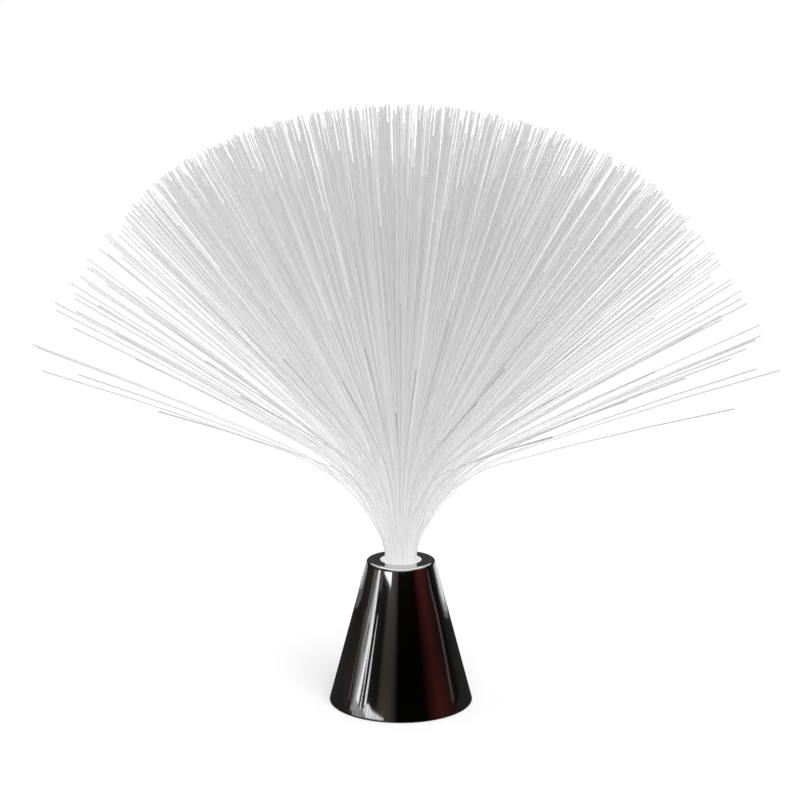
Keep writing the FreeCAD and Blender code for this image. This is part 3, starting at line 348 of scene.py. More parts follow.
white_plastic = new_material("white_plastic", (0.9, 0.9, 0.89), roughness=0.42)
vary_color(white_plastic, noise_on(white_plastic, grains=400), (0.88, 0.88, 0.87), (0.92, 0.92, 0.91))
vary_roughness(white_plastic, noise_on(white_plastic, grains=900), 0.36, 0.5)
add_bump(white_plastic, noise_on(white_plastic, grains=2500, detail=2.0), strength=0.08, depth=0.05 * MM)
dress(sleeve, white_plastic)
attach(sleeve, "base")
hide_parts("socket_sleeve")


# ---------------------------------------------------------------- ferrule
# White tube crimped round the lower end of the fibers, so that the whole spray
# lifts out of the socket in one piece.
ferrule_bore = 8.19 * MM
ferrule_bore_round = 0.2 * MM
ferrule_radius = ferrule_high.x
ferrule_lead = 0.5 * MM

ferrule = turn_profile("ferrule", [
    (ferrule_bore, ferrule_high.z),
    (ferrule_radius, ferrule_high.z),
    (ferrule_radius, ferrule_low.z + ferrule_lead),
    (ferrule_radius - ferrule_lead, ferrule_low.z),
    (ferrule_bore, ferrule_low.z)], segments=128)
round_ring(ferrule, ferrule_radius, ferrule_high.z, rim_round, steps=5)
round_ring(ferrule, ferrule_bore, ferrule_high.z, ferrule_bore_round, steps=3)
smooth(ferrule, degrees=28)
dress(ferrule, white_plastic)
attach(ferrule, "spray")
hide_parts("bundle_ferrule")


# ---------------------------------------------------------------- fibers
# Clear acrylic light fibers, cut to nearly one length. They are packed in the ferrule
# like the seeds of a sunflower, and above the socket each one bends out under its own
# weight, the outer ones further than the inner ones.
fiber_foot = ferrule_low.z
fiber_neck = cone_height + 0.9 * MM
fiber_count = 1500
fiber_radius = 0.30 * MM
bundle_radius = 7.86 * MM
fiber_bends = (14.5 * MM, 74.0 * MM, 144.1 * MM)
fiber_bend_shares = (0.37, 0.58, 0.05)
fiber_bend_steps = (3, 6, 3)
fiber_shortest = 0.987
fiber_lean = 73.0
fiber_lean_even = 0.65
fiber_lean_one_sided = 0.06
fiber_lean_stray_power = 30
fiber_lean_scatter = 1.1
fiber_stray_share = 0.968
fiber_stray_thickness = 1.25
fiber_stray_cut = 0.06
fiber_stray_cut_power = 8
fiber_groups = ("core", "inner", "middle", "outer", "fringe")
seed_turn = math.pi * (3 - math.sqrt(5))


def fiber_path(start_x, start_y, heading, lean, lengths):
    """Points along one fiber: straight through the socket, then three arcs that lean
    out along its heading."""
    points = [(start_x, start_y, fiber_foot), (start_x, start_y, fiber_neck)]
    out, height, slant = 0.0, fiber_neck, 0.0
    for length, share, steps in zip(lengths, fiber_bend_shares, fiber_bend_steps):
        for step in range(steps):
            turn = lean * share / steps
            out += length / steps * math.sin(slant + turn / 2)
            height += length / steps * math.cos(slant + turn / 2)
            slant += turn
            points.append((start_x + out * math.cos(heading), start_y + out * math.sin(heading), height))
    return points


def new_fiber_curve(name):
    """A curve whose splines become four-sided rods."""
    curve = bpy.data.curves.new(name, "CURVE")
    curve.dimensions = "3D"
    curve.bevel_depth = fiber_radius
    curve.bevel_resolution = 0
    curve.use_fill_caps = True
    return curve


chance = random.Random(11)
fiber_curves = {group: new_fiber_curve(f"fibers_{group}_curve") for group in fiber_groups}
for index in range(fiber_count):
    share = math.sqrt((index + 0.5) / fiber_count)
    start_radius = bundle_radius * share
    azimuth = index * seed_turn
    even_lean = fiber_lean * fiber_lean_even * share * (1 + fiber_lean_one_sided * math.cos(azimuth))
    stray_lean = fiber_lean * (1 - fiber_lean_even) * share ** fiber_lean_stray_power
    lean_x = (even_lean + stray_lean) * math.cos(azimuth) + chance.gauss(0.0, fiber_lean_scatter)
    lean_y = (even_lean + stray_lean) * math.sin(azimuth) + chance.gauss(0.0, fiber_lean_scatter)
    lean = math.radians(min(math.hypot(lean_x, lean_y), fiber_lean))
    heading = math.atan2(lean_y, lean_x)
    cut = 1 - fiber_stray_cut * share ** fiber_stray_cut_power
    lengths = [bend * cut * chance.uniform(fiber_shortest, 1.0) for bend in fiber_bends]
    path = fiber_path(start_radius * math.cos(azimuth), start_radius * math.sin(azimuth),
                      heading, lean, lengths)
    group = fiber_groups[len(fiber_groups) * index // fiber_count]
    spline = fiber_curves[group].splines.new("POLY")
    spline.points.add(len(path) - 1)
    for number, (point, place) in enumerate(zip(spline.points, path)):
        point.co = (*place, 1.0)
        if share > fiber_stray_share and number > 1:
            point.radius = fiber_stray_thickness
    spline.use_smooth = True


def combine(owner, operation, first, second):
    """Two patterns put together by a math node."""
    node = owner.node_tree.nodes.new("ShaderNodeMath")
    node.operation = operation
    owner.node_tree.links.new(first, node.inputs[0])
    owner.node_tree.links.new(second, node.inputs[1])
    return node.outputs["Value"]


def vector_step(material, operation, vector):
    """One step of vector math, as its node."""
    node = material.node_tree.nodes.new("ShaderNodeVectorMath")
    node.operation = operation
    material.node_tree.links.new(vector, node.inputs[0])
    return node


# Painted light and shade on the fibers: a fiber is painted palest near the light and grayer
# towards its tip, and painted grayer too where it leans out of the crowd. Both are told from
# a point below the neck. The fibers throw no shadow and catch no bounced light, so this
# painted tone stands in for their shading.
clear_fiber = new_material("clear_fiber", (0.8, 0.8, 0.8), roughness=0.25)
fiber_shader = clear_fiber.node_tree.nodes["Principled BSDF"]
fiber_shader.inputs["IOR"].default_value = 1.49
fiber_shader.inputs["Transmission Weight"].default_value = 0.3
fiber_fan_center = fiber_neck - 30 * MM
fiber_pale_until = 30 * MM
fiber_gray_from = 230 * MM
fiber_place = clear_fiber.node_tree.nodes.new("ShaderNodeTexCoord").outputs["Object"]
from_center = vector_step(clear_fiber, "SUBTRACT", fiber_place)
from_center.inputs[1].default_value = (0.0, 0.0, fiber_fan_center)
distance = vector_step(clear_fiber, "LENGTH", from_center.outputs["Vector"]).outputs["Value"]
direction = vector_step(clear_fiber, "NORMALIZE", from_center.outputs["Vector"]).outputs["Vector"]
upright = clear_fiber.node_tree.nodes.new("ShaderNodeSeparateXYZ")
clear_fiber.node_tree.links.new(direction, upright.inputs["Vector"])
# Painted light that fades along the fiber, painted shade where it leans far out, and a little random tone.
painted_light_along_fiber = spread(clear_fiber, distance, 1.08, 0.44, start=fiber_pale_until, end=fiber_gray_from)
painted_shade_out_of_crowd = spread(clear_fiber, upright.outputs["Z"], -0.4, 0.0, start=0.52, end=0.74)
fiber_grain = noise_on(clear_fiber, grains=260, detail=2.0, stretch=(1.0, 1.0, 0.2))
uneven = spread(clear_fiber, fiber_grain, -0.06, 0.06)
tone_and_painted_light = combine(clear_fiber, "ADD", combine(clear_fiber, "ADD", painted_light_along_fiber, painted_shade_out_of_crowd), uneven)
vary_color(clear_fiber, tone_and_painted_light, (0.52, 0.52, 0.52), (0.935, 0.935, 0.935), start=0.0, end=1.0)

for group, curve in fiber_curves.items():
    piece = bpy.data.objects.new(f"fibers_{group}_strands", curve)
    bpy.context.scene.collection.objects.link(piece)
    make_active(piece)
    bpy.ops.object.convert(target="MESH")
    piece = bpy.context.object
    bpy.ops.object.shade_smooth()
    dress(piece, clear_fiber)
    piece.visible_shadow = False
    piece.visible_diffuse = False
    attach(piece, "spray")
    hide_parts(f"fibers_{group}")


# ---------------------------------------------------------------- light holder and diode
# A white reflector holder plugs into the sleeve from below. In its cup sits a
# color-changing diode of clear cast resin, on four tinned leads.


def merged_copy(node, name):
    """A CAD node's mesh, copied and joined up, with flat faces made whole."""
    piece = copy_of(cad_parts[node], name)
    if piece.data.has_custom_normals:
        bpy.ops.mesh.customdata_custom_splitnormals_clear()
    bpy.ops.object.mode_set(mode="EDIT")
    bpy.ops.mesh.select_all(action="SELECT")
    bpy.ops.mesh.remove_doubles(threshold=0.0005 * MM)
    bpy.ops.mesh.dissolve_limited(angle_limit=math.radians(0.5))
    bpy.ops.object.mode_set(mode="OBJECT")
    return piece


def soften_edges(piece, width):
    """Round the sharp edges, as moulded or stamped ones are."""
    make_active(piece)
    bpy.ops.object.modifier_add(type="BEVEL")
    bevel = piece.modifiers[-1]
    bevel.width = width
    bevel.segments = 2
    bevel.limit_method = "ANGLE"
    bevel.angle_limit = math.radians(40)
    bevel.use_clamp_overlap = True
    bpy.ops.object.modifier_apply(modifier=bevel.name)
    smooth(piece)


def finish(node, body, material, width=None):
    """A CAD node's piece in its own material, with its edges softened where a width
    is given."""
    piece = merged_copy(node, f"{node}_piece")
    if width is None:
        smooth(piece)
    else:
        soften_edges(piece, width)
    dress(piece, material)
    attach(piece, body)
    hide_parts(node)
    return piece


def metal(name, color, roughness):
    """Plated sheet or wire with fine scuffs."""
    material = new_material(name, color, roughness, metallic=1.0)
    darker = [0.86 * tone for tone in color]
    vary_color(material, noise_on(material, grains=350), darker, color)
    vary_roughness(material, noise_on(material, grains=1200), roughness - 0.07, roughness + 0.1)
    add_bump(material, noise_on(material, grains=1800, detail=3.0), strength=0.06, depth=0.04 * MM)
    return material


finish("light_holder", "base", white_plastic, width=0.15 * MM)

clear_resin = new_material("clear_resin", (0.94, 0.96, 0.97), roughness=0.06)
resin_shader = clear_resin.node_tree.nodes["Principled BSDF"]
resin_shader.inputs["IOR"].default_value = 1.53
resin_shader.inputs["Transmission Weight"].default_value = 0.92
vary_roughness(clear_resin, noise_on(clear_resin, grains=600), 0.04, 0.12)
finish("color_led", "base", clear_resin)

tinned_steel = metal("tinned_steel", (0.72, 0.72, 0.70), roughness=0.3)
finish("led_leads", "base", tinned_steel)


# ---------------------------------------------------------------- control board
# A round board of laminate under green lacquer, held to the light holder by two small
# screws. Its chip sits under a drop of black resin, beside three flat resistors.
board_green = new_material("board_green", (0.05, 0.22, 0.09), roughness=0.35)
vary_color(board_green, noise_on(board_green, grains=900), (0.035, 0.17, 0.07), (0.05, 0.22, 0.09))
vary_roughness(board_green, noise_on(board_green, grains=700), 0.28, 0.42)
finish("control_board", "base", board_green)

black_resin = new_material("black_resin", (0.02, 0.02, 0.022), roughness=0.38)
vary_color(black_resin, noise_on(black_resin, grains=500), (0.016, 0.016, 0.018), (0.026, 0.026, 0.028))
add_bump(black_resin, noise_on(black_resin, grains=600, detail=2.0), strength=0.2, depth=0.1 * MM)
finish("control_chip", "base", black_resin)

resistor_low, resistor_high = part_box("board_resistors")
resistor_middle = (resistor_low.y + resistor_high.y) / 2
resistor_body = 1.1 * MM
resistors = finish("board_resistors", "base", black_resin, width=0.06 * MM)
resistors.data.materials.append(tinned_steel)
for face in resistors.data.polygons:
    face.material_index = 1 if abs(face.center.y - resistor_middle) > resistor_body else 0

zinc_steel = metal("zinc_steel", (0.66, 0.67, 0.68), roughness=0.32)
finish("board_screws", "base", zinc_steel)


# ---------------------------------------------------------------- board tracks
# Copper tracks stand out a little under the lacquer of the board's lower side. They
# join the chip, the diode's leads, the resistors and the wires' pads, and their places
# are in millimetres.
board_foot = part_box("control_board")[0].z
track_wide = 0.45 * MM
track_thick = 0.08 * MM
cross_track_share = 0.9
lead_near = 0.635
lead_far = 1.905
resistor_step = 2.4
resistor_feet = (resistor_low.y / MM, resistor_high.y / MM)
red_pad = (-7.0, -5.5)
white_pad = (6.0, 6.0)
spare_pad = (-9.0, 5.0)
track_routes = [
    [red_pad, (-2.5, -5.5)],
    [(1.0, -4.0), (1.0, -2.2), (lead_far, -2.2), (lead_far, 0.0)],
    [(-resistor_step, resistor_feet[0]), (-resistor_step, 1.2), (-lead_far, 1.2), (-lead_far, 0.0)],
    [(0.0, resistor_feet[0]), (0.0, 2.2), (-lead_near, 2.2), (-lead_near, 0.0)],
    [(resistor_step, resistor_feet[0]), (resistor_step, 1.2), (lead_near, 1.2), (lead_near, 0.0)],
    [(-resistor_step, resistor_feet[1]), (-resistor_step, 9.0)],
    [(0.0, resistor_feet[1]), (0.0, 9.0)],
    [(resistor_step, resistor_feet[1]), (resistor_step, 9.0)],
    [(-resistor_step, 9.0), (6.0, 9.0), (6.0, 3.0), (6.6, 3.0), (6.6, -6.0), (2.5, -6.0)],
    [spare_pad, (-4.6, 5.0), (-4.6, -3.6), (-1.6, -3.6)]]


def join_pieces(name, pieces):
    """Many small pieces made into one."""
    make_active(pieces[0])
    for piece in pieces:
        piece.select_set(True)
    bpy.ops.object.join()
    joined = bpy.context.object
    joined.name = name
    joined.data.name = name
    return joined


runs = [(start, end) for route in track_routes for start, end in zip(route, route[1:])]
pieces = []
for (from_x, from_y), (to_x, to_y) in runs:
    clear_selection()
    bpy.ops.mesh.primitive_cube_add(
        size=1.0, location=((from_x + to_x) / 2 * MM, (from_y + to_y) / 2 * MM, board_foot))
    track = bpy.context.object
    # Tracks along Y are a little slimmer, so that no two faces lie in one plane.
    share = 1.0 if from_y == to_y else cross_track_share
    wide = share * track_wide
    track.scale = (abs(to_x - from_x) * MM + wide, abs(to_y - from_y) * MM + wide, 2 * share * track_thick)
    bpy.ops.object.transform_apply(location=True, scale=True)
    pieces.append(track)
tracks = join_pieces("board_tracks", pieces)

track_green = new_material("track_green", (0.10, 0.36, 0.16), roughness=0.3)
vary_color(track_green, noise_on(track_green, grains=900), (0.08, 0.31, 0.13), (0.11, 0.38, 0.17))
dress(tracks, track_green)
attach(tracks, "base")


# ---------------------------------------------------------------- solder drops
# Flat drops of solder on the board's lower side hold the diode's leads and the ends of
# two wires. One more lies on a spare pad.
lead_drop = 0.42 * MM
pad_drop = 1.0 * MM
spare_drop = 0.6 * MM
drop_flatness = 0.55
drop_places = [(lead, 0.0, lead_drop) for lead in (-lead_far, -lead_near, lead_near, lead_far)]
drop_places += [(*red_pad, pad_drop), (*white_pad, pad_drop), (*spare_pad, spare_drop)]

clear_selection()
bpy.ops.mesh.primitive_uv_sphere_add(segments=24, ring_count=12, radius=1.0)
drop_pattern = bpy.context.object
pieces = []
for place_x, place_y, size in drop_places:
    drop = copy_of(drop_pattern, "drop")
    drop.location = (place_x * MM, place_y * MM, board_foot)
    drop.scale = (size, size, size * drop_flatness)
    bpy.ops.object.transform_apply(location=True, scale=True)
    pieces.append(drop)
bpy.data.objects.remove(drop_pattern)
solder = join_pieces("solder_drops", pieces)
smooth(solder)
dress(solder, tinned_steel)
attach(solder, "base")


# ---------------------------------------------------------------- base plate
# Black moulded plate inside the cone's rim, with the battery tray on it. Four screws
# with sunk heads hold it up against the bosses.
finish("base_plate", "base", black_plastic, width=0.12 * MM)
finish("base_screws", "base", zinc_steel)


# ---------------------------------------------------------------- switch marks
# An O and an I beside the switch, which tell its off side from its on side. They are
# raised from the base plate and printed light gray.
plate_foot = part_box("base_plate")[0].z
knob_low, knob_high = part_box("switch_knob")
switch_y = (knob_low.y + knob_high.y) / 2
mark_out = 6.2 * MM
mark_size = 1.1 * MM
mark_line = 0.22 * MM
mark_rise = 0.25 * MM

mark_paint = new_material("mark_paint", (0.72, 0.72, 0.70), roughness=0.5)
vary_color(mark_paint, noise_on(mark_paint, grains=900), (0.64, 0.64, 0.62), (0.76, 0.76, 0.74))

clear_selection()
bpy.ops.mesh.primitive_torus_add(
    major_radius=mark_size, minor_radius=mark_line, major_segments=32, minor_segments=8,
    location=(-mark_out, switch_y, plate_foot))
off_mark = bpy.context.object
off_mark.name = "off_mark"
bpy.ops.object.transform_apply(location=True)
smooth(off_mark)

clear_selection()
bpy.ops.mesh.primitive_cube_add(size=1.0, location=(mark_out, switch_y, plate_foot))
on_mark = bpy.context.object
on_mark.name = "on_mark"
on_mark.scale = (2 * mark_line, 2 * mark_size, 2 * mark_rise)
bpy.ops.object.transform_apply(location=True, scale=True)
soften_edges(on_mark, width=0.08 * MM)

for mark in (off_mark, on_mark):
    dress(mark, mark_paint)
    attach(mark, "base")


# ---------------------------------------------------------------- battery door
# Black moulded door. It hooks in with two tabs, its spring tongue snaps in between
# two slits, and three grooves and a raised arrow show where to push.
arrow_place = 2.5 * MM
arrow_size = 3.4 * MM
arrow_rise = 0.35 * MM

finish("battery_door", "door", black_plastic, width=0.12 * MM)

clear_selection()
bpy.ops.mesh.primitive_cylinder_add(
    vertices=3, radius=arrow_size, depth=2 * arrow_rise, rotation=(0, 0, -math.pi / 2),
    location=(arrow_place, 0, plate_foot))
arrow = bpy.context.object
arrow.name = "door_arrow"
bpy.ops.object.transform_apply(location=True, rotation=True)
soften_edges(arrow, width=0.2 * MM)
dress(arrow, black_plastic)
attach(arrow, "door")


# ---------------------------------------------------------------- cells
# Three small dry cells: a steel can in a printed shrink sleeve, crimped near the end
# with the nub. The middle one lies the other way round.
cell_low, cell_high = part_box("cell_left")
cell_length = cell_high.x - cell_low.x
cell_radius = (cell_high.z - cell_low.z) / 2
can_foot_radius = 4.3 * MM
can_foot_lift = 0.2 * MM
can_top = cell_length - 1.0 * MM
nub_foot_radius = 2.5 * MM
nub_radius = 1.9 * MM
lap_radius = 4.6 * MM
lap_rise = 0.05 * MM
lap_fold = 0.1 * MM
edge_across = 0.25 * MM
edge_along = 0.3 * MM
band_start = 33.0 * MM
crimp_start = 41.0 * MM
crimp_middle = 41.7 * MM
crimp_end = 42.5 * MM
crimp_step = 0.4 * MM
crimp_shallow = 0.08 * MM
crimp_deep = 0.18 * MM

cell_pattern = turn_profile("cell_pattern", [
    (can_foot_radius, 0.0),
    (can_foot_radius + can_foot_lift, can_foot_lift),
    (lap_radius, can_foot_lift),
    (lap_radius, lap_rise),
    (cell_radius - edge_across, lap_rise),
    (cell_radius, lap_rise + edge_along),
    (cell_radius, band_start),
    (cell_radius, crimp_start),
    (cell_radius - crimp_shallow, crimp_middle - crimp_step),
    (cell_radius - crimp_deep, crimp_middle),
    (cell_radius - crimp_shallow, crimp_middle + crimp_step),
    (cell_radius, crimp_end),
    (cell_radius - lap_rise, can_top - edge_along),
    (cell_radius - edge_along, can_top + lap_fold),
    (lap_radius, can_top + 2 * lap_fold),
    (lap_radius - lap_fold, can_top),
    (nub_foot_radius, can_top),
    (nub_radius, can_top + lap_fold),
    (nub_radius, cell_length - edge_along),
    (nub_radius - edge_across, cell_length)], segments=64, closed=False)

cell_jacket = new_material("cell_jacket", (0.12, 0.13, 0.15), roughness=0.3)
vary_color(cell_jacket, noise_on(cell_jacket, grains=120), (0.10, 0.11, 0.13), (0.14, 0.15, 0.17))
vary_roughness(cell_jacket, noise_on(cell_jacket, grains=800), 0.22, 0.36)
cell_band = new_material("cell_band", (0.62, 0.36, 0.16), roughness=0.3, metallic=0.7)
vary_color(cell_band, noise_on(cell_band, grains=150), (0.58, 0.32, 0.13), (0.66, 0.40, 0.19))
vary_roughness(cell_band, noise_on(cell_band, grains=800), 0.24, 0.38)

for material in (cell_jacket, cell_band, tinned_steel):
    cell_pattern.data.materials.append(material)
for face in cell_pattern.data.polygons:
    corners = [cell_pattern.data.vertices[number].co for number in face.vertices]
    out = max(math.hypot(corner.x, corner.y) for corner in corners)
    if out < lap_radius + 0.02 * MM:
        face.material_index = 2
    elif min(corner.z for corner in corners) > band_start - 0.1 * MM:
        face.material_index = 1

for node, turned in (("cell_left", False), ("cell_middle", True), ("cell_right", False)):
    low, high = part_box(node)
    cell = copy_of(cell_pattern, f"{node}_piece")
    cell.rotation_euler = (0, math.pi / 2 if turned else -math.pi / 2, 0)
    cell.location = (low.x if turned else high.x, (low.y + high.y) / 2, (low.z + high.z) / 2)
    bpy.ops.object.transform_apply(location=True, rotation=True)
    smooth(cell, degrees=30)
    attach(cell, "base")
    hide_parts(node)
bpy.data.objects.remove(cell_pattern)


# ---------------------------------------------------------------- contacts
# Contacts stamped from tinned sheet stand in the ends of the tray, and cone-shaped
# wire springs press on the flat ends of the cells.
for node in ("positive_contact", "near_link_contact", "far_link_contact", "negative_contact"):
    finish(node, "base", tinned_steel, width=0.08 * MM)
dress(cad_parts["contact_springs"], tinned_steel)


# ---------------------------------------------------------------- slide switch
# A folded tinned case closed by a plate of brown laminate with three terminals. The
# black knob hangs down through a slot in the base plate and has grooves for a nail.
groove_wide = 0.4 * MM
groove_long = 6.0 * MM
groove_deep = 0.35 * MM
knob_middle = (knob_low.x + knob_high.x) / 2

finish("switch_case", "base", tinned_steel, width=0.1 * MM)
finish("switch_terminals", "base", tinned_steel, width=0.06 * MM)

laminate = new_material("laminate", (0.35, 0.20, 0.09), roughness=0.55)
paper_grain = noise_on(laminate, grains=500, stretch=(1.0, 6.0, 1.0))
vary_color(laminate, paper_grain, (0.29, 0.16, 0.07), (0.40, 0.24, 0.11))
add_bump(laminate, noise_on(laminate, grains=900), strength=0.1, depth=0.05 * MM)
finish("switch_plate", "base", laminate, width=0.06 * MM)

knob = merged_copy("switch_knob", "knob_piece")
for step in (-1, 0, 1):
    clear_selection()
    bpy.ops.mesh.primitive_cube_add(
        size=1.0, location=(knob_middle + 2 * step * groove_wide, switch_y, knob_low.z))
    groove = bpy.context.object
    groove.scale = (groove_wide, groove_long, 2 * groove_deep)
    bpy.ops.object.transform_apply(location=True, scale=True)
    make_active(knob)
    bpy.ops.object.modifier_add(type="BOOLEAN")
    cutter = knob.modifiers[-1]
    cutter.operation = "DIFFERENCE"
    cutter.object = groove
    bpy.ops.object.modifier_apply(modifier=cutter.name)
    bpy.data.objects.remove(groove)
soften_edges(knob, width=0.06 * MM)

knob_plastic = new_material("knob_plastic", (0.04, 0.04, 0.045), roughness=0.42)
vary_color(knob_plastic, noise_on(knob_plastic, grains=700), (0.034, 0.034, 0.038), (0.046, 0.046, 0.052))
vary_roughness(knob_plastic, noise_on(knob_plastic, grains=1500), 0.36, 0.5)
dress(knob, knob_plastic)
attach(knob, "knob")
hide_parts("switch_knob")


# ---------------------------------------------------------------- wires
# Stranded copper wires in soft plastic insulation, soldered at both ends: red from the
# positive contact to the board, black from the negative contact to the switch, and
# white from the switch to the board.
for node, slot_name, color in (
        ("red_wire", "wire_red", (0.62, 0.03, 0.03)),
        ("black_wire", "wire_black", (0.02, 0.02, 0.02)),
        ("white_wire", "wire_white", (0.85, 0.85, 0.83))):
    insulation = new_material(slot_name, color, roughness=0.4)
    darker = [0.88 * tone for tone in color]
    vary_color(insulation, noise_on(insulation, grains=500), darker, color)
    vary_roughness(insulation, noise_on(insulation, grains=1400), 0.32, 0.48)
    finish(node, "base", insulation)


# ---------------------------------------------------------------- floor and light
# A pale floor, soft light from all round, and a broad lamp from the front and above.
# Seen straight or in a mirror, the floor and the room are white.
world_level = 0.6
key_level = 1.9
key_rise = math.radians(42)
key_side = math.radians(14)
key_softness = math.radians(60)
floor_size = 60.0
floor_tone = 0.8
floor_seen_level = 1.04
floor_level = world_level + key_level * math.sin(key_rise) / math.pi
floor_white = floor_seen_level / floor_level


def seen_or_mirrored(owner):
    """One for a ray from the camera, also by way of metal or clear plastic, or else none."""
    light_path = owner.node_tree.nodes.new("ShaderNodeLightPath")
    straight_or_mirrored = combine(
        owner, "ADD", light_path.outputs["Is Camera Ray"], light_path.outputs["Is Glossy Ray"])
    return combine(owner, "ADD", straight_or_mirrored, light_path.outputs["Is Transmission Ray"])


pale_floor = new_material("pale_floor", (floor_tone, floor_tone, floor_tone), roughness=0.9)
pale_floor.node_tree.nodes["Principled BSDF"].inputs["Specular IOR Level"].default_value = 0.0
vary_color(pale_floor, seen_or_mirrored(pale_floor), (floor_tone, floor_tone, floor_tone),
           (floor_white, floor_white, floor_white), start=0.0, end=1.0)

clear_selection()
bpy.ops.mesh.primitive_plane_add(size=floor_size, location=(0, 0, 0))
floor = bpy.context.object
floor.name = "floor"
dress(floor, pale_floor)

world = bpy.data.worlds.new("soft_white_room")
bpy.context.scene.world = world
world.use_nodes = True
background = world.node_tree.nodes["Background"]
background.inputs["Color"].default_value = (1.0, 1.0, 1.0, 1.0)
world_strength = spread(world, seen_or_mirrored(world), world_level, 1.0, start=0.0, end=1.0)
world.node_tree.links.new(world_strength, background.inputs["Strength"])

bpy.ops.object.light_add(type="SUN", rotation=(math.pi / 2 - key_rise, 0, key_side))
key_light = bpy.context.object
key_light.name = "key_light"
key_light.data.energy = key_level
key_light.data.angle = key_softness
key_light.visible_glossy = False


# ---------------------------------------------------------------- studio ring
# A dark ring that only mirrors show stands close round the lamp, in the manner of the dark
# surround of a studio for chrome. It lights nothing: its glowing tones, dark with brown and red
# bands, are painted reflections for the chrome cone. Its tones go by azimuth in degrees, which
# is 0 at the front and grows to the right, and its fade goes by height in millimetres.
ring_radius = 150 * MM
ring_height = 112 * MM
ring_strength = 0.52
ring_fade = ((0, 1.15), (18, 1.05), (45, 0.8), (75, 1.1), (103, 1.7))
# Tones of the painted reflections round the ring, by azimuth.
ring_tones = (
    (-180, (0.05, 0.05, 0.05)),
    (-116, (0.045, 0.042, 0.04)),
    (-100, (0.06, 0.05, 0.044)),
    (-88, (0.085, 0.048, 0.04)),
    (-74, (0.03, 0.024, 0.02)),
    (-56, (0.034, 0.036, 0.03)),
    (-38, (0.022, 0.022, 0.019)),
    (-30, (0.14, 0.125, 0.105)),
    (-16, (0.12, 0.105, 0.088)),
    (-5, (0.004, 0.004, 0.003)),
    (36, (0.005, 0.004, 0.003)),
    (50, (0.08, 0.018, 0.017)),
    (61, (0.115, 0.028, 0.026)),
    (80, (0.06, 0.018, 0.017)),
    (98, (0.014, 0.011, 0.009)),
    (112, (0.04, 0.038, 0.036)),
    (180, (0.05, 0.05, 0.05)))


def shown_in_mirrors_only(card):
    card.visible_camera = False
    card.visible_diffuse = False
    card.visible_transmission = False
    card.visible_shadow = False


def glowing(name, strength, streaks=0.0):
    """A surface that shines by itself, with upright streaks that brighten and dim it
    by a share of its strength."""
    material = bpy.data.materials.new(name)
    material.use_nodes = True
    material.node_tree.nodes.clear()
    output = material.node_tree.nodes.new("ShaderNodeOutputMaterial")
    emission = material.node_tree.nodes.new("ShaderNodeEmission")
    emission.inputs["Strength"].default_value = strength
    material.node_tree.links.new(emission.outputs["Emission"], output.inputs["Surface"])
    if streaks > 0:
        pattern = noise_on(material, grains=150, detail=3.0, stretch=(1.0, 1.0, 0.12))
        level = spread(material, pattern, strength * (1 - streaks), strength * (1 + streaks))
        material.node_tree.links.new(level, emission.inputs["Strength"])
    return material


def color_steps(material, pattern, steps):
    """Colours that a pattern passes through on its way from nought to one."""
    ramp = material.node_tree.nodes.new("ShaderNodeValToRGB")
    elements = ramp.color_ramp.elements
    for number, (place, tone) in enumerate(steps):
        element = elements[number] if number < 2 else elements.new(place)
        element.position = place
        element.color = (*tone, 1.0)
    material.node_tree.links.new(pattern, ramp.inputs["Fac"])
    return ramp.outputs["Color"]


clear_selection()
bpy.ops.mesh.primitive_cylinder_add(
    vertices=180, radius=ring_radius, depth=ring_height,
    end_fill_type="NOTHING", location=(0, 0, ring_height / 2))
ring = bpy.context.object
ring.name = "dark_ring"
bpy.ops.object.transform_apply(location=True)

ring_tone = glowing("ring_tones", ring_strength)
ring_nodes = ring_tone.node_tree.nodes
ring_links = ring_tone.node_tree.links
ring_place = ring_nodes.new("ShaderNodeTexCoord").outputs["Object"]
front_facing = vector_step(ring_tone, "MULTIPLY", ring_place)
front_facing.inputs[1].default_value = (1.0, -1.0, 1.0)
ring_axes = ring_nodes.new("ShaderNodeSeparateXYZ")
ring_links.new(front_facing.outputs["Vector"], ring_axes.inputs["Vector"])
bearing = combine(ring_tone, "ARCTAN2", ring_axes.outputs["X"], ring_axes.outputs["Y"])
azimuth_share = spread(ring_tone, bearing, 0.0, 1.0, start=-math.pi, end=math.pi)
height_share = spread(ring_tone, ring_axes.outputs["Z"], 0.0, 1.0, start=0.0, end=ring_height)
azimuth_steps = [((azimuth + 180) / 360, tone) for azimuth, tone in ring_tones]
height_steps = [(height * MM / ring_height, (level, level, level)) for height, level in ring_fade]
ring_mix = ring_nodes.new("ShaderNodeMix")
ring_mix.data_type = "RGBA"
ring_mix.blend_type = "MULTIPLY"
ring_mix.inputs["Factor"].default_value = 1.0
ring_links.new(color_steps(ring_tone, azimuth_share, azimuth_steps), ring_mix.inputs["A"])
ring_links.new(color_steps(ring_tone, height_share, height_steps), ring_mix.inputs["B"])
ring_links.new(ring_mix.outputs["Result"], ring_nodes["Emission"].inputs["Color"])
dress(ring, ring_tone)
shown_in_mirrors_only(ring)


# ---------------------------------------------------------------- studio cards
# Light and dark cards that only mirrors show hang inside the ring. They are no lamps and light
# nothing; they paint the bright strips, sheens, glows and dark slivers reflected in the chrome
# cone. Their corners are told by azimuth in degrees and height in millimetres, and their inset
# is what lies between their corners and the ring, in millimetres too.


def card(name, strength, corners, inset=3.0, streaks=0.0):
    """A glowing card inside the ring, a painted reflection for the chrome, with a corner at each azimuth
    and height.
    """
    radius = ring_radius - inset * MM
    clear_selection()
    bpy.ops.mesh.primitive_circle_add(vertices=len(corners), radius=radius, fill_type="NGON")
    piece = bpy.context.object
    piece.name = name
    for vertex, (azimuth, height) in zip(piece.data.vertices, corners):
        angle = math.radians(azimuth)
        vertex.co = (radius * math.sin(angle), -radius * math.cos(angle), height * MM)
    dress(piece, glowing(name, strength, streaks))
    shown_in_mirrors_only(piece)


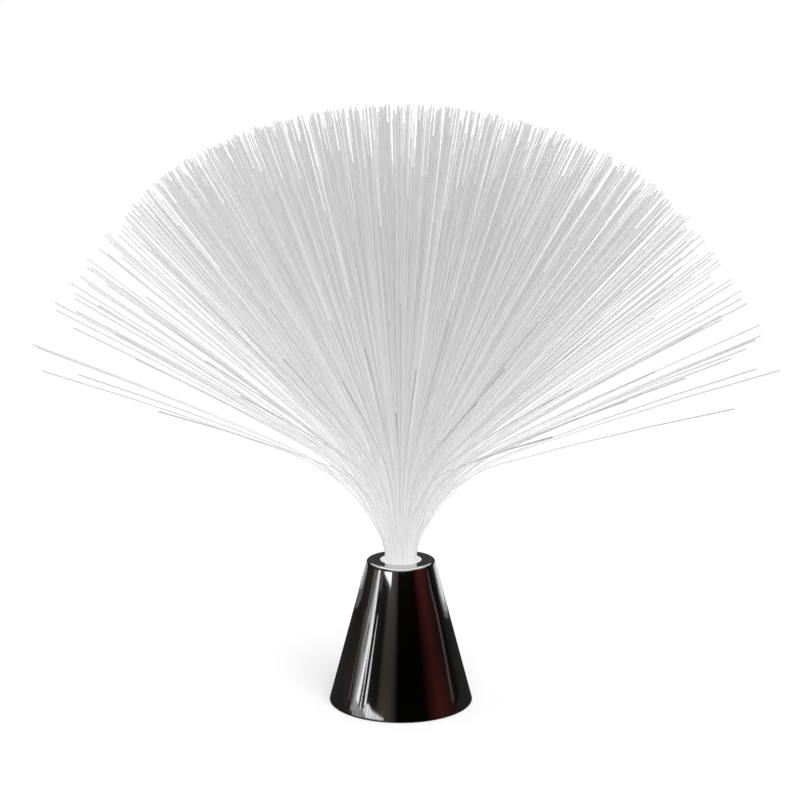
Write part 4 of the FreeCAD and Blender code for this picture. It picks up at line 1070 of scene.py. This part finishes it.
strip_edge = [(-65, 94), (-63, 80), (-62, 65), (-61, 48), (-60, 31), (-60, 23), (-60, 12)]
strip_back = [(-71, 14), (-70, 24), (-69, 45), (-69.4, 62), (-71.5, 76), (-72, 92)]
soft_back = [(-79, 4), (-78.6, 22), (-81, 39), (-79.5, 58), (-77, 74), (-75, 90)]
card("bright_strip", 1.3, strip_edge + strip_back, inset=9, streaks=0.35)
card("soft_strip", 0.45, strip_edge + soft_back, inset=4, streaks=0.6)
card("dark_sliver", 0.08, [(-72.5, 40), (-71.5, 58), (-73.5, 58), (-74.5, 40)], inset=7)
card("low_sliver", 0.06, [(-62, 12), (-61, 24), (-63.5, 50), (-64.5, 24), (-65, 12)], inset=12)
card("gray_sliver", 0.16, [
    (-80, 6), (-83, 32), (-85, 49), (-88, 66), (-88, 86),
    (-76, 88), (-77, 68), (-81, 50), (-79, 34), (-77, 8)], inset=6, streaks=0.5)
card("far_sliver", 0.12, [
    (-86.7, 6), (-89, 23), (-90, 40), (-92.6, 57),
    (-89, 59), (-87.5, 42), (-86.5, 25), (-84, 8)])
card("thin_strip", 1.3, [(-56, 17), (-52.5, 17), (-54, 70), (-54.8, 70)])
card("top_haze", 0.12, [(-61, 82), (-54, 84), (-54, 102), (-62, 98)])
card("corner_light", 2.1, [(-54, 96), (-27.1, 102.5), (-27.4, 93)])
card("low_gray", 0.45, [
    (-75.5, 7), (-69.7, 13), (-57.9, 15), (-50, 17),
    (-44, 14), (-51, 11), (-62, 6), (-73, 3)], streaks=0.6)
card("low_light", 1.3, [
    (-56.3, 14), (-52.6, 19), (-47, 20), (-43, 18),
    (-24, 17.2), (-24, 16.2), (-39, 14), (-50, 11.5)], inset=4, streaks=0.3)
card("brown_line", 0.08, [
    (86, 82), (85, 70), (88, 56), (87, 40), (85, 24), (82, 6),
    (88, 6), (91, 24), (94, 40), (95, 56), (92, 70), (92, 82)])
card("right_sheen", 0.18, [(122, 68), (160, 68), (160, 18), (146, 19), (133, 26), (117, 38), (115, 52)])
card("right_glow", 0.45, [
    (127, 66), (160, 66), (160, 24), (148, 23), (136, 28), (124, 38), (121, 50)], inset=9)
card("right_gleam", 0.9, [
    (133, 62), (160, 62), (160, 34), (148, 31), (136, 34), (129, 41), (126, 48)], inset=14)
card("left_sheen", 0.14, [(-122, 62), (-160, 62), (-160, 22), (-146, 24), (-128, 36), (-120, 48)])
card("left_glow", 0.5, [(-134, 60), (-160, 60), (-160, 38), (-146, 37), (-136, 43), (-132, 50)], inset=12)


# ---------------------------------------------------------------- studio backdrop
# A dark half-round wall behind the lamp, a dark mat under it and a broad glowing disc above it,
# again for mirrors only. They light nothing: the wall and the mat paint dark reflections in the
# chrome where the pale floor and room would show, and the disc paints the bright highlight
# along the cone's rounded top edge.
backdrop_radius = 450 * MM
backdrop_foot = 100 * MM
backdrop_high = 220 * MM
mat_lift = 0.3 * MM
overhead_radius = 500 * MM
overhead_forward = 150 * MM
overhead_height = 600 * MM

clear_selection()
bpy.ops.mesh.primitive_cylinder_add(
    vertices=90, radius=backdrop_radius, depth=backdrop_high, end_fill_type="NOTHING",
    location=(0, 0, backdrop_foot + backdrop_high / 2))
backdrop = bpy.context.object
backdrop.name = "dark_backdrop"
bpy.ops.object.mode_set(mode="EDIT")
bpy.ops.mesh.select_all(action="SELECT")
bpy.ops.mesh.bisect(plane_co=(0, 0, 0), plane_no=(0, 1, 0), clear_inner=True)
bpy.ops.object.mode_set(mode="OBJECT")
dress(backdrop, glowing("dark_backdrop", 0.06))
shown_in_mirrors_only(backdrop)

clear_selection()
bpy.ops.mesh.primitive_circle_add(
    vertices=64, radius=ring_radius, fill_type="NGON", location=(0, 0, mat_lift))
mat = bpy.context.object
mat.name = "dark_mat"
dress(mat, glowing("dark_mat", 0.024))
shown_in_mirrors_only(mat)

clear_selection()
bpy.ops.mesh.primitive_circle_add(
    vertices=64, radius=overhead_radius, fill_type="NGON",
    location=(0, -overhead_forward, overhead_height))
overhead = bpy.context.object
overhead.name = "overhead_light"
dress(overhead, glowing("overhead_light", 2.6))
shown_in_mirrors_only(overhead)
